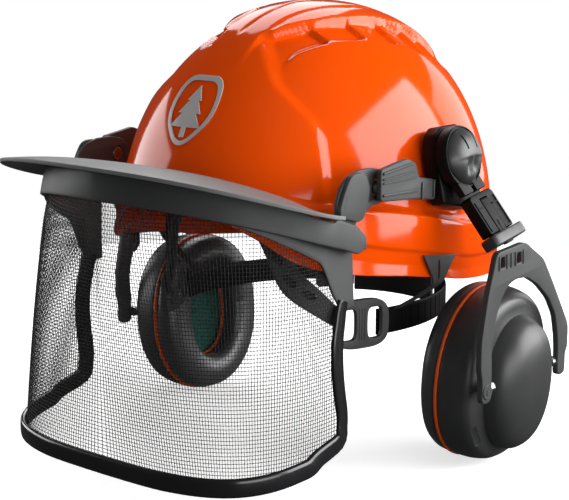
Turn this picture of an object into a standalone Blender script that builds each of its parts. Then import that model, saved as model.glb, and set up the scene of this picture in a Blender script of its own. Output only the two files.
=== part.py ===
"""Forestry helmet: shell with harness, flip-up mesh visor and two ear muffs on swinging arms.

Row frame, in millimetres here and in metres in Blender: the origin is the middle of the head opening, +Z is up,
the wearer looks along -Y and the wearer's left side is +X. Left pieces are modelled and mirrored to the right.
"""

import math

import bmesh
import bpy
from mathutils import Matrix, Vector
from mathutils.bvhtree import BVHTree

MM = 0.001

# Driving dimensions, in millimetres.
SHELL_HALF_WIDTH = 108.0
SHELL_HALF_LENGTH = 137.0
SHELL_TOP = 150.0
SHELL_BASE = -5.0
SHELL_WALL = 2.4
DOME_RISE_POWER = 2.334
DOME_PLAN_POWER = 2.08
BELT_STEP = 3.4
RIM_STEP = 2.0
CLEAR = 0.4

HEADBAND_HALF_WIDTH = 80.0
HEADBAND_HALF_LENGTH = 101.0
HEADBAND_WALL = 1.8

VISOR_PIVOT = Vector((0.0, -72.0, 54.0))
VISOR_TOP_WIDTH = 98.0
VISOR_TRIM_WIDTH = 10.5
PEAK_OUTER = {"width": 113.3, "depth": 92.5, "middle": -113.5, "front": 71.7, "end": 43.8, "fall": 1.04, "power": 2.42}
PEAK_INNER = {"width": 97.0, "depth": 40.5, "middle": -110.0, "front": 64.5, "end": 40.5, "fall": 1.04, "power": 2.15}

SIDE_NORMAL = Vector((0.976, 0.0, 0.218)).normalized()
HUB = Vector((112.6, -8.0, 64.0))
HUB_RADIUS = 18.5
ARM_HINGE = Vector((125.8, -4.6, 42.0))
ARM_LINE = Vector((0.58, 0.12, -0.806)).normalized()
ARM_WIDTH = 26.6
ARM_LENGTH = 24.7
ARM_THICKNESS = 7.6
FORK_PLANE = 147.0

CUP_CENTRE = Vector((115.5, 20.5, -72.0))
CUP_HALF_WIDTH = 47.0
CUP_HALF_HEIGHT = 54.0
CUP_LEAN = math.radians(4.0)
CUP_PIVOT_HEIGHT = -68.0

ORANGE = ("shell_orange", (0.85, 0.105, 0.004), 0.16, 0.0)
BLACK = ("black_plastic", (0.03, 0.031, 0.033), 0.45, 0.0)
DARK = ("grey_plastic", (0.075, 0.077, 0.08), 0.55, 0.0)
MESH_BLACK = ("mesh_black", (0.02, 0.02, 0.021), 0.5, 0.2)
RUBBER = ("rim_rubber", (0.025, 0.025, 0.026), 0.7, 0.0)
CUSHION = ("cushion_vinyl", (0.03, 0.03, 0.032), 0.42, 0.0)
RING_ORANGE = ("ring_orange", (0.62, 0.13, 0.025), 0.45, 0.0)
FOAM_GREEN = ("foam_green", (0.01, 0.075, 0.058), 0.95, 0.0)
WEBBING = ("webbing", (0.04, 0.04, 0.042), 0.85, 0.0)
SILVER = ("badge_silver", (0.62, 0.64, 0.66), 0.35, 0.3)
STEEL = ("pin_steel", (0.45, 0.46, 0.47), 0.35, 1.0)


# ---------------------------------------------------------------- scene, materials and small helpers


def clear_scene():
    for obj in list(bpy.data.objects):
        bpy.data.objects.remove(obj, do_unlink=True)


def make_collections():
    parts = bpy.data.collections.new("forestry_helmet")
    tools = bpy.data.collections.new("cutters")
    for collection in (parts, tools):
        bpy.context.scene.collection.children.link(collection)
    return parts, tools


def material(spec):
    name, colour, roughness, metallic = spec
    found = bpy.data.materials.get(name)
    if found:
        return found
    made = bpy.data.materials.new(name)
    made.use_nodes = True
    shader = made.node_tree.nodes["Principled BSDF"]
    shader.inputs["Base Color"].default_value = (*colour, 1.0)
    shader.inputs["Roughness"].default_value = roughness
    shader.inputs["Metallic"].default_value = metallic
    made.diffuse_color = (*colour, 1.0)
    return made


def axis_empty(name, point):
    """An empty on a joint's axis, which the pieces of that body are parented to."""
    empty = bpy.data.objects.new(name, None)
    empty.empty_display_size = 0.01
    empty.location = Vector(point) * MM
    PARTS.objects.link(empty)
    return empty


def finish(name, mesh, spec, parent=None, smooth=True):
    """Links a mesh, given in millimetres in the row frame, as an object with its origin at its parent's."""
    mesh.name = name
    pivot = parent.location.copy() if parent else Vector((0.0, 0.0, 0.0))
    mesh.transform(Matrix.Translation(-pivot) @ Matrix.Scale(MM, 4))
    mesh.materials.clear()
    mesh.materials.append(material(spec))
    if smooth:
        mesh.shade_smooth()
        mesh.set_sharp_from_angle(angle=math.radians(38))
    obj = bpy.data.objects.new(name, mesh)
    PARTS.objects.link(obj)
    if parent:
        obj.parent = parent
    return obj


def mesh_from(bm, name="piece"):
    bmesh.ops.recalc_face_normals(bm, faces=bm.faces)
    mesh = bpy.data.meshes.new(name)
    bm.to_mesh(mesh)
    bm.free()
    return mesh


def applied(mesh, modifiers):
    """The mesh with modifiers applied; each is (type, {setting: value})."""
    holder = bpy.data.objects.new("holder", mesh)
    bpy.context.scene.collection.objects.link(holder)
    for kind, settings in modifiers:
        modifier = holder.modifiers.new(kind, kind)
        for key, value in settings.items():
            setattr(modifier, key, value)
    bpy.context.view_layer.update()
    graph = bpy.context.evaluated_depsgraph_get()
    made = bpy.data.meshes.new_from_object(holder.evaluated_get(graph))
    bpy.data.objects.remove(holder, do_unlink=True)
    return made


def mirrored(mesh):
    """A copy of a left-hand mesh for the right-hand side."""
    copy = mesh.copy()
    copy.transform(Matrix.Scale(-1.0, 4, (1.0, 0.0, 0.0)))
    copy.flip_normals()
    return copy


def pair(name, mesh, spec, parents=(None, None)):
    """The left piece and its mirrored twin."""
    twin = mirrored(mesh)
    finish(name + "_left", mesh, spec, parents[0])
    finish(name + "_right", twin, spec, parents[1])


def frame_matrix(origin, x_axis, z_axis):
    """A placement whose local X and Z run along the given directions; Z is made square to X."""
    x = Vector(x_axis).normalized()
    z = Vector(z_axis)
    z = (z - z.project(x)).normalized()
    y = z.cross(x)
    rotation = Matrix((x, y, z)).transposed().to_4x4()
    return Matrix.Translation(Vector(origin)) @ rotation


def grid_sheet(columns, rows, place, thickness, closed=False):
    """An open grid of columns by rows faces, each vertex sent through place(u, v), given a wall by Solidify."""
    bm = bmesh.new()
    bmesh.ops.create_grid(bm, x_segments=columns, y_segments=rows, size=0.5)
    for vert in bm.verts:
        vert.co = place(vert.co.x + 0.5, vert.co.y + 0.5)
    if closed:
        bmesh.ops.remove_doubles(bm, verts=bm.verts, dist=0.001)
    mesh = mesh_from(bm)
    return applied(mesh, [("SOLIDIFY", {"thickness": thickness, "offset": 0.0, "use_even_offset": True})])


def plate(outline, thickness, placement, holes=(), bevel=0.0):
    """A flat outline in the local XY plane, extruded evenly about it; each outline is a list of points."""
    curve = bpy.data.curves.new("outline", "CURVE")
    curve.dimensions = "2D"
    curve.fill_mode = "BOTH"
    curve.extrude = thickness / 2 - bevel
    curve.bevel_depth = bevel
    curve.bevel_resolution = 0
    curve.offset = -bevel
    for points in (outline, *holes):
        spline = curve.splines.new("POLY")
        spline.points.add(len(points) - 1)
        for target, (x, y) in zip(spline.points, points):
            target.co = (x, y, 0.0, 1.0)
        spline.use_cyclic_u = True
    holder = bpy.data.objects.new("outline", curve)
    bpy.context.scene.collection.objects.link(holder)
    bpy.context.view_layer.update()
    graph = bpy.context.evaluated_depsgraph_get()
    mesh = bpy.data.meshes.new_from_object(holder.evaluated_get(graph))
    bpy.data.objects.remove(holder, do_unlink=True)
    bm = bmesh.new()
    bm.from_mesh(mesh)
    bmesh.ops.remove_doubles(bm, verts=bm.verts, dist=0.001)
    made = mesh_from(bm)
    made.transform(placement)
    return made


def turned(profile, steps, placement):
    """A solid of revolution about local Z from (radius, height) points, listed from top to bottom."""
    bm = bmesh.new()
    verts = [bm.verts.new((radius, 0.0, height)) for radius, height in profile]
    for a, b in zip(verts, verts[1:]):
        bm.edges.new((a, b))
    mesh = bpy.data.meshes.new("profile")
    bm.to_mesh(mesh)
    bm.free()
    settings = {"axis": "Z", "steps": steps, "render_steps": steps, "angle": 2 * math.pi}
    settings.update({"use_merge_vertices": True, "merge_threshold": 0.0001, "use_normal_calculate": True})
    made = applied(mesh, [("SCREW", settings)])
    bm = bmesh.new()
    bm.from_mesh(made)
    bmesh.ops.remove_doubles(bm, verts=bm.verts, dist=0.001)
    made = mesh_from(bm)
    made.transform(placement)
    return made


def box(size, placement, bevel=0.0, segments=1):
    bm = bmesh.new()
    bmesh.ops.create_cube(bm, size=1.0)
    bmesh.ops.scale(bm, vec=size, verts=bm.verts)
    if bevel:
        bmesh.ops.bevel(bm, geom=bm.edges, offset=bevel, segments=segments, affect="EDGES", profile=0.5)
    made = mesh_from(bm)
    made.transform(placement)
    return made


def oval(half_y, half_z, count, power=2.0):
    """Points of a superellipse in a plane, as (y, z) pairs."""
    points = []
    for index in range(count):
        angle = 2 * math.pi * index / count
        c, s = math.cos(angle), math.sin(angle)
        points.append(
            (
                half_y * math.copysign(abs(c) ** (2 / power), c),
                half_z * math.copysign(abs(s) ** (2 / power), s),
            )
        )
    return points


def loft(rings, cap_first=True, cap_last=True):
    """A skin over rings with equal numbers of points, with flat ends or, for a ring of one point, a tip."""
    bm = bmesh.new()
    made = [[bm.verts.new(Vector(p)) for p in ring] for ring in rings]
    for first, second in zip(made, made[1:]):
        count = max(len(first), len(second))
        for i in range(count):
            j = (i + 1) % count
            if len(first) == 1:
                bm.faces.new((first[0], second[i], second[j]))
            elif len(second) == 1:
                bm.faces.new((first[i], first[j], second[0]))
            else:
                bm.faces.new((first[i], first[j], second[j], second[i]))
    if cap_first and len(made[0]) > 1:
        bm.faces.new(made[0])
    if cap_last and len(made[-1]) > 1:
        bm.faces.new(made[-1])
    return mesh_from(bm)


def united(first, second):
    """The Boolean union of two closed meshes."""
    holder = bpy.data.objects.new("joined", second)
    TOOLS.objects.link(holder)
    made = applied(first, [("BOOLEAN", {"operation": "UNION", "object": holder, "solver": "EXACT"})])
    bpy.data.objects.remove(holder, do_unlink=True)
    return made


def cut(first, second):
    """The first closed mesh less the second."""
    holder = bpy.data.objects.new("cutter", second)
    TOOLS.objects.link(holder)
    made = applied(first, [("BOOLEAN", {"operation": "DIFFERENCE", "object": holder, "solver": "EXACT"})])
    bpy.data.objects.remove(holder, do_unlink=True)
    return made


def smooth_step(value, low, high):
    t = min(1.0, max(0.0, (value - low) / (high - low)))
    return t * t * (3 - 2 * t)


# ---------------------------------------------------------------- shell


def dome_share(z):
    """How wide the dome is at height z, as a share of its width at the base."""
    rise = min(1.0, max(0.0, (z - SHELL_BASE) / (SHELL_TOP - SHELL_BASE)))
    return max(0.0, 1 - rise**DOME_RISE_POWER) ** (1 / DOME_PLAN_POWER)


def shell_point(angle, z, out=0.0):
    """A point of the shell's outer face, angle 0 at the left ear and -90 degrees at the front, moved out."""
    share = dome_share(z)
    return Vector(
        (
            (SHELL_HALF_WIDTH * share + out) * math.cos(angle),
            (SHELL_HALF_LENGTH * share + out) * math.sin(angle),
            z,
        )
    )


def along(table, y):
    """Reads a table of (y, value) pairs, smoothly between its entries."""
    if y <= table[0][0]:
        return table[0][1]
    for (y0, a), (y1, b) in zip(table, table[1:]):
        if y <= y1:
            return a + (b - a) * (y - y0) / (y1 - y0)
    return table[-1][1]


RIM_HEIGHTS = (
    (-141, 40.0), (-134, 37.0), (-124, 29.5), (-115, 20.5), (-108, 13.0), (-100, 8.5), (-87, 4.5), (-72, 2.0),
    (-45, -1.5), (-16, -6.5), (6, -11.5), (33, -15.0), (70, -18.5), (141, -24.0),
)
BELT_TOPS = ((-141, 58.0), (-124, 50.0), (-100, 43.0), (-62, 39.0), (-30, 33.0), (14, 23.0), (141, 14.0))
BELT_FEET = (
    (-141, 48.0), (-130, 40.0), (-115, 31.0), (-100, 24.5), (-80, 21.0), (-50, 14.5), (-20, 9.0), (12, 1.5),
    (60, -4.0), (141, -9.0),
)


def ridge_lift(x, y):
    """The raised band along the crown, which fades out towards the brow and the nape."""
    across = 1 - smooth_step(abs(x), 30.0, 37.0)
    along = smooth_step(y, -92.0, -78.0) * (1 - smooth_step(y, 84.0, 98.0))
    return 2.2 * across * along


def make_shell():
    around, low_rows, dome_rows = 52, 6, 9
    up = low_rows + dome_rows

    def place(u, v):
        angle = 2 * math.pi * u
        row = round(v * up)
        y = (SHELL_HALF_LENGTH + RIM_STEP) * math.sin(angle)
        rim, foot, top = along(RIM_HEIGHTS, y), along(BELT_FEET, y), along(BELT_TOPS, y)
        low = (
            (rim, RIM_STEP + 0.6),
            (rim + (foot - rim) * 0.45, RIM_STEP - 0.4),
            (foot - 1.2, RIM_STEP),
            (foot + 1.2, BELT_STEP),
            (top - 1.6, BELT_STEP),
            (top + 1.6, 0.0),
        )
        if row < low_rows:
            z, out = low[row]
            return shell_point(angle, z, out)
        share = (row - low_rows + 1) / (dome_rows + 1)
        lowest = math.asin((top + 1.6 - SHELL_BASE) / (SHELL_TOP - SHELL_BASE))
        z = SHELL_BASE + (SHELL_TOP - SHELL_BASE) * math.sin(lowest + (math.pi / 2 - lowest) * share)
        point = shell_point(angle, z)
        point.z += ridge_lift(point.x, point.y)
        return point

    bm = bmesh.new()
    bmesh.ops.create_grid(bm, x_segments=around, y_segments=up, size=0.5)
    for vert in bm.verts:
        vert.co = place(vert.co.x + 0.5, vert.co.y + 0.5)
    bmesh.ops.remove_doubles(bm, verts=bm.verts, dist=0.01)
    mesh = mesh_from(bm)
    mesh = applied(mesh, [("SOLIDIFY", {"thickness": SHELL_WALL, "offset": -1.0, "use_even_offset": True})])
    finish("shell", mesh, ORANGE)


def make_badge():
    """A plain oval badge on the brow, bent to the shell."""

    def place(u, v):
        across, up = (u - 0.5) * 2, (v - 0.5) * 2
        grow = math.sqrt(1 - 0.5 * across * across), math.sqrt(1 - 0.5 * up * up)
        angle = -math.pi / 2 + math.radians(13.0) * across * grow[1]
        z = 92.0 + 22.0 * up * grow[0]
        return shell_point(angle, z, CLEAR + 0.5)

    finish("badge", grid_sheet(8, 8, place, 0.8), SILVER)


# ---------------------------------------------------------------- harness


def band_point(angle, z, out=0.0):
    return Vector(
        (
            (HEADBAND_HALF_WIDTH + out) * math.cos(angle),
            (HEADBAND_HALF_LENGTH + out) * math.sin(angle) - 2.0,
            z,
        )
    )


def band_strip(start, end, columns, middle, half_height, thickness, out=0.0, rows=1):
    """A strip of the headband between two angles in degrees; middle and half_height are functions of u."""

    def place(u, v):
        angle = math.radians(start + (end - start) * u)
        return band_point(angle, middle(u) + (2 * v - 1) * half_height(u), out)

    return grid_sheet(columns, rows, place, thickness)


# The front band's edges: degrees from the middle of the brow, and height.
FRONT_BAND_TOPS = ((0, 56.0), (20, 52.0), (30, 38.0), (36, 16.0), (42, -2.0), (49, -12.0), (56, -24.0))
FRONT_BAND_FEET = ((0, 37.0), (15, 32.0), (22, 25.0), (27, 15.0), (30, 2.0), (33, -10.0), (38, -18.0), (56, -37.0))


def front_band(reach, columns, thickness, inset=0.0, out=0.0):
    """A strip of the front band, as far as reach degrees to each side of the brow, its edges moved in by inset."""

    def edges(u):
        away = abs(2 * u - 1) * reach
        return along(FRONT_BAND_FEET, away) + inset, along(FRONT_BAND_TOPS, away) - inset

    def middle(u):
        return sum(edges(u)) / 2

    def half_height(u):
        foot, top = edges(u)
        return (top - foot) / 2

    return band_strip(-90 - reach, -90 + reach, columns, middle, half_height, thickness, out=out)


def make_headband():
    finish("headband_front", front_band(56, 28, HEADBAND_WALL), DARK)
    sweat = front_band(48, 24, 4.0, inset=0.5, out=-3.8)
    finish("sweatband", sweat, CUSHION)
    side = band_strip(-18, 62, 12, lambda u: -36.0 - 4.0 * u, lambda u: 8.0, 2.0, out=0.0)
    pair("headband_side", side, BLACK)
    nape = band_strip(66, 114, 10, lambda u: -42.0, lambda u: 13.0, 2.2, out=0.6)
    finish("nape_pad", nape, DARK)


def make_nape_adjuster(knob_axis):
    housing = box((38.0, 11.0, 24.0), Matrix.Translation((0.0, 108.0, -42.0)), bevel=3.0)
    finish("nape_housing", housing, BLACK)
    placement = frame_matrix((0.0, 114.2, -42.0), (1, 0, 0), (0, 1, 0))
    profile = [(0.0, 10.0), (11.0, 10.0), (13.0, 8.0), (13.0, 0.0), (0.0, 0.0)]
    finish("nape_knob", turned(profile, 16, placement), BLACK, knob_axis)


def make_buckles():
    """The slide buckle where the front band meets the side band, and the strap end that leaves it."""
    angle = math.radians(-26)
    centre = band_point(angle, -34.0, 4.2)
    outward = Vector((math.cos(angle), 0.8 * math.sin(angle), 0.0))
    placement = frame_matrix(centre, (0.0, 0.0, 1.0), outward)
    outer = oval(15.0, 19.0, 16, power=3.2)
    opening = oval(9.5, 5.0, 8, power=4.0)
    slots = [[(y, z + shift) for y, z in opening] for shift in (-9.0, 9.0)]
    pair("buckle", plate(outer, 3.6, placement, holes=slots, bevel=0.6), DARK)


# The side hanger's run, from the headband up: share of its length, distance from the middle, height, half width.
HANGER_RUN = (
    (0.0, 83.2, -29.0, 3.6), (0.3, 98.0, -19.5, 3.4), (0.48, 107.5, -12.6, 3.6), (0.56, 111.4, -9.4, 4.2),
    (0.64, 112.3, -4.8, 6.4), (0.8, 112.3, 2.0, 10.4), (1.0, 111.9, 9.0, 14.8),
)


def hanger_place(u, v):
    reach, z, half = (along([(row[0], row[k]) for row in HANGER_RUN], u) for k in (1, 2, 3))
    y = -20.5 + 2.4 * u + (2 * v - 1) * half
    return Vector((reach * math.sqrt(1 - (y / 139.0) ** 2), y, z))


def make_hangers():
    """The side hanger: wide where it hooks on the outside of the rim, narrow below it, down to the headband."""
    pair("hanger", grid_sheet(14, 3, hanger_place, 1.2), DARK)


def make_crown():
    """The cradle: one strap from brow to nape and two across, each clear of the next."""

    def strap(direction, apex, half_width, foot_z, brow_z=None):
        reach_x, reach_y = 84.0, 108.5
        c, s = math.cos(direction), math.sin(direction)
        reach = 1 / math.sqrt((c / reach_x) ** 2 + (s / reach_y) ** 2)

        def place(u, v):
            angle = math.pi * u
            along = reach * math.cos(angle)
            foot = foot_z if brow_z is None else foot_z + (brow_z - foot_z) * u
            z = foot + (apex - foot) * max(0.0, math.sin(angle)) ** 0.8
            side = (2 * v - 1) * half_width
            return Vector((along * c - side * s, along * s + side * c, z))

        return grid_sheet(16, 1, place, 1.2)

    finish("crown_strap_long", strap(math.pi / 2, 118.0, 9.0, 6.0, brow_z=50.0), WEBBING)
    finish("crown_strap_cross_a", strap(math.radians(28), 115.5, 9.0, 6.0), WEBBING)
    finish("crown_strap_cross_b", strap(math.radians(152), 113.0, 9.0, 6.0), WEBBING)


def make_keys():
    """The keys that hang the harness in the shell, at the ends of the straps."""
    for name, direction in (("front_left", -38), ("rear_left", 38), ("front_right", 218), ("rear_right", 142)):
        angle = math.radians(direction)
        point = shell_point(angle, 4.0)
        flat = Vector((point.x, point.y, 0.0))
        centre = flat - flat.normalized() * (SHELL_WALL + 4.4)
        centre.z = 0.0
        placement = frame_matrix(centre, (-math.sin(angle), math.cos(angle), 0.0), (0.0, 0.0, 1.0))
        finish("harness_key_" + name, box((22.0, 5.0, 9.0), placement, bevel=1.2), DARK)


# ---------------------------------------------------------------- visor


def rim_curve(shape, degrees):
    """A point of an arched U-shaped edge: 0 degrees at the left end, 90 at the front, 180 at the right end."""
    c, s = math.cos(math.radians(degrees)), math.sin(math.radians(degrees))
    power = 2 / shape["power"]
    fall = (1 - abs(s)) ** shape["fall"]
    return Vector(
        (
            shape["width"] * math.copysign(abs(c) ** power, c),
            shape["middle"] - shape["depth"] * abs(s) ** power,
            shape["front"] + (shape["end"] - shape["front"]) * fall,
        )
    )


def visor_surface(degrees, z, out=0.0):
    """The face of the visor at a height. Beyond its ends, at 0 and 180 degrees, it runs straight back."""
    down = (30.0 - z) / 125.0
    lean = 0.1 * max(0.0, z - 28.0)
    width = VISOR_TOP_WIDTH + 3.5 * (13.0 - z) / 99.0 + out
    depth = 84.0 + 1.0 * down + out - lean
    middle = -105.5 + 2.0 * down
    power = 2 / (2.0 + 1.2 * down)
    inside = min(180.0, max(0.0, degrees))
    back = max(-degrees, degrees - 180.0, 0.0) * 1.2
    c, s = math.cos(math.radians(inside)), math.sin(math.radians(inside))
    if back:
        return Vector((math.copysign(width, c), middle + back, z))
    return Vector((width * math.copysign(abs(c) ** power, c), middle - depth * abs(s) ** power, z))


SIDE_BAR = (
    (-95, -114.0), (-88, -106.0), (-80, -103.0), (-70, -102.5), (-58, -104.5), (-44, -106.0), (-28, -105.0), (-12, -101.5),
    (4, -96.0), (14, -91.5),
)


def side_degrees(z):
    """Where the middle of the side bar lies on the visor's face at a height."""
    target = along(SIDE_BAR, z)
    low, high = -20.0, 60.0
    for _ in range(40):
        middle = (low + high) / 2
        if visor_surface(middle, z).y > target:
            low = middle
        else:
            high = middle
    return low


def mesh_top(degrees):
    s = math.sin(math.radians(min(180.0, max(0.0, degrees))))
    return 55.4 - 42.4 * (1 - abs(s)) ** 1.14


def mesh_bottom(degrees):
    s = math.sin(math.radians(min(180.0, max(0.0, degrees))))
    return -99.3 + 7.0 * (1 - abs(s)) ** 2.4


def web_foot(degrees):
    """The frame's lower edge: along the top of the mesh, and down over the side bar at either end."""
    from_end = min(degrees, 180.0 - degrees)
    return mesh_top(degrees) - 1.5 - 14.0 * (1 - smooth_step(from_end, -4.0, 7.0))


def band_top(degrees):
    s = math.sin(math.radians(min(180.0, max(0.0, degrees))))
    back = max(-degrees, degrees - 180.0, 0.0)
    return 67.2 - 27.2 * (1 - abs(s)) ** 1.04 - 0.45 * back


def make_visor(axis):
    def mesh_place(u, v):
        nominal = 180.0 * u
        low, high = mesh_bottom(nominal), mesh_top(nominal) + 3.0
        z = low + (high - low) * v
        side = side_degrees(z)
        return visor_surface(side + (180.0 - 2 * side) * u, z)

    finish("visor_mesh", grid_sheet(30, 7, mesh_place, 0.8), MESH_BLACK, axis)

    def web_place(u, v):
        degrees = -13.0 + 206.0 * u
        low, high = web_foot(degrees), band_top(degrees) - 3.0
        return visor_surface(degrees, low + (high - low) * v, 1.6)

    finish("visor_frame", grid_sheet(30, 2, web_place, 1.6), DARK, axis)

    def peak_place(u, v):
        degrees = -1.0 + 182.0 * u
        outer, inner = rim_curve(PEAK_OUTER, degrees), rim_curve(PEAK_INNER, degrees)
        point = outer.lerp(inner, v)
        point.z += 1.6 * math.sin(math.pi * v) * math.sin(math.radians(min(180.0, max(0.0, degrees))))
        return point

    peak = grid_sheet(32, 4, peak_place, 2.2)
    underside = BVHTree.FromPolygons([v.co for v in peak.vertices], [tuple(f.vertices) for f in peak.polygons])

    def under_peak(degrees, out):
        high = band_top(degrees)
        for _ in range(3):
            point = visor_surface(degrees, high, out)
            hit = underside.ray_cast(Vector((point.x, point.y, -200.0)), Vector((0.0, 0.0, 1.0)))[0]
            if hit is None:
                return band_top(degrees)
            high = min(band_top(degrees), hit.z - 0.9)
        return high

    def band_place(u, v):
        degrees = -16.5 + 213.0 * u
        end = smooth_step(min(u, 1 - u), 0.0, 0.035)
        high = min(under_peak(degrees, 3.0), under_peak(degrees, 8.2)) - 3.5 * (1 - end)
        low = band_top(degrees) - 16.0 + 4.5 * (1 - end)
        z = low + (high - low) * v
        from_end = min(degrees, 180.0 - degrees)
        out = 3.9 + 4.2 * (1 - smooth_step(from_end, 6.0, 34.0))
        return visor_surface(degrees, z, out)

    finish("visor_band", grid_sheet(36, 2, band_place, 2.2), DARK, axis)

    finish("peak", peak, DARK, axis)

    path = []
    for z in (-6.5, -12.0, -19.0, -28.0, -40.0, -52.0, -62.0, -71.0, -79.0, -86.0):
        path.append((side_degrees(z), z))
    path.append((5.5, -91.0))
    for degrees in (9, 14, 20, 28, 37, 47, 58, 70, 80):
        path.append((degrees, mesh_bottom(degrees)))
    left = [visor_surface(degrees, z) for degrees, z in path]
    front = [visor_surface(90.0, mesh_bottom(90.0))]
    right = [Vector((-p.x, p.y, p.z)) for p in reversed(left)]
    points = left + front + right
    rings = []
    for index, point in enumerate(points):
        before, after = points[max(0, index - 1)], points[min(len(points) - 1, index + 1)]
        tangent = (after - before).normalized()
        away = Vector((point.x / 114.0**2, (point.y + 112.0) / 78.0**2, 0.0)).normalized()
        away = (away - away.project(tangent)).normalized()
        across = tangent.cross(away)
        half = VISOR_TRIM_WIDTH / 2
        ring = []
        for a, n in ((-1.0, -1.0), (-1.0, 0.55), (-0.8, 1.0), (0.8, 1.0), (1.0, 0.55), (1.0, -1.0)):
            ring.append(point + across * half * a + away * (2.5 + 1.4 * n))
        rings.append(ring)
    finish("visor_trim", loft(rings), RUBBER, axis)

    upright = frame_matrix((102.3, 0.0, 0.0), (0, 1, 0), (1, 0, 0))
    hole = [(VISOR_PIVOT.y + 4.6 * math.cos(a), VISOR_PIVOT.z + 4.6 * math.sin(a)) for a in circle(14)]
    eye = [(VISOR_PIVOT.y + 10.0 * math.cos(a), VISOR_PIVOT.z + 10.0 * math.sin(a)) for a in circle(14, -1.9, 1.4)]
    lever = [(-78.0, 43.0), *eye, (-77.0, 65.5), (-88.6, 65.5), (-99.0, 63.0), (-105.0, 57.5), (-108.5, 50.0),
             (-109.0, 31.0), (-95.0, 30.0), (-90.0, 37.5)]
    pair("visor_lever", plate(lever, 2.2, upright, holes=[hole]), DARK, (axis, axis))
    outer = frame_matrix((105.0, 0.0, 0.0), (0, 1, 0), (1, 0, 0))
    tab = [(-110.5, 42.6), (-104.5, 56.5), (-101.5, 61.5), (-96.5, 64.5), (-90.0, 64.6), (-84.5, 61.5), (-82.0, 56.0),
           (-83.0, 49.0), (-88.0, 36.2)]
    pair("visor_tab", plate(tab, 2.6, outer, bevel=0.7), DARK, (axis, axis))


def circle(count, start=0.0, end=None):
    if end is None:
        return [2 * math.pi * i / count for i in range(count)]
    return [start + (end - start) * i / (count - 1) for i in range(count)]


def make_brackets():
    """The fixed holder of the visor: a wedge over the pivot, with a tongue back to the adapter."""
    wedge = [(-77.5, 47.0), (-77.5, 65.0), (-51.5, 68.5), (-43.5, 65.0), (-40.5, 56.5), (-23.6, 53.2), (-23.6, 41.0),
             (-41.0, 44.0), (-60.0, 45.5)]
    placement = frame_matrix((108.6, 0.0, 0.0), (0, 1, 0), (1, 0, 0))
    pair("visor_bracket", plate(wedge, 3.6, placement, bevel=0.8), DARK)
    pin = frame_matrix((100.6, VISOR_PIVOT.y, VISOR_PIVOT.z), (0, 1, 0), (1, 0, 0))
    profile = [(0.0, 5.8), (4.1, 5.8), (4.1, 0.5), (3.6, 0.0), (0.0, 0.0)]
    pair("visor_pin", turned(profile, 14, pin), STEEL)


# ---------------------------------------------------------------- ear-muff arms


def side_frame(origin):
    """Local X towards the back, local Y up the side of the shell, local Z out."""
    return frame_matrix(origin, (0, 1, 0), SIDE_NORMAL)


def arm_frame(distance=0.0, out=0.0):
    """Local X towards the back, local Y up the arm, local Z out, at a distance down the arm from its hinge."""
    across = (Vector((0, 1, 0)) - Vector((0, 1, 0)).project(ARM_LINE)).normalized()
    normal = across.cross(-ARM_LINE)
    placement = frame_matrix(ARM_HINGE, across, normal)
    return placement @ Matrix.Translation((0.0, -distance, out))


def make_adapters():
    """The block keyed to the shell's side that carries the hub."""
    origin = Vector((101.7, 0.0, 58.5)) + SIDE_NORMAL * 5.0
    outline = [(-23.0, -22.0), (-23.0, 6.0), (-20.0, 18.0), (-13.0, 22.5), (3.0, 22.5), (10.0, 17.0), (15.5, -2.0),
               (18.0, -31.0), (-4.0, -26.5)]
    pair("adapter", plate(outline, 10.0, side_frame(origin), bevel=1.2), BLACK)


def make_hubs(axes):
    placement = side_frame(HUB)
    profile = [(0.0, 6.2), (17.0, 6.2), (18.5, 4.8), (18.5, 0.0), (0.0, 0.0)]
    disc = turned(profile, 24, placement)
    pair("hub", disc, BLACK, axes)
    profile = [(0.0, 7.4), (8.5, 7.0), (13.5, 5.6), (16.6, 2.8), (17.0, 0.0), (0.0, 0.0)]
    cap = turned(profile, 20, placement @ Matrix.Translation((0.0, -0.5, 6.6)))
    pair("hub_cap", cap, BLACK, axes)


def make_arms(axes):
    half = ARM_WIDTH / 2
    outline = [(-half, -ARM_LENGTH), (half, -ARM_LENGTH), (half, -1.0), (half - 2.0, 1.0), (-half + 2.0, 1.0), (-half, -1.0)]
    body = plate(outline, ARM_THICKNESS, arm_frame(0.0, 0.0), bevel=0.9)
    groove = box((8.9, ARM_LENGTH, 4.6), arm_frame(ARM_LENGTH / 2 + 2.5, ARM_THICKNESS / 2 - 1.0))
    body = cut(body, groove)
    pair("arm", body, BLACK, axes)
    ring = [(x, y + 1.3) for x, y in oval(18.0, 6.9, 20, power=4.5)]
    window = [(-4.6, 0.3), (4.6, 0.3), (4.6, 4.6), (-4.6, 4.6)]
    placement = arm_frame(ARM_LENGTH + 3.9, 0.0) @ Matrix.Rotation(math.pi / 2, 4, "X")
    clamp = plate(ring, 6.8, placement, holes=[window], bevel=0.6)
    pair("clamp", clamp, DARK, axes)


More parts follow.
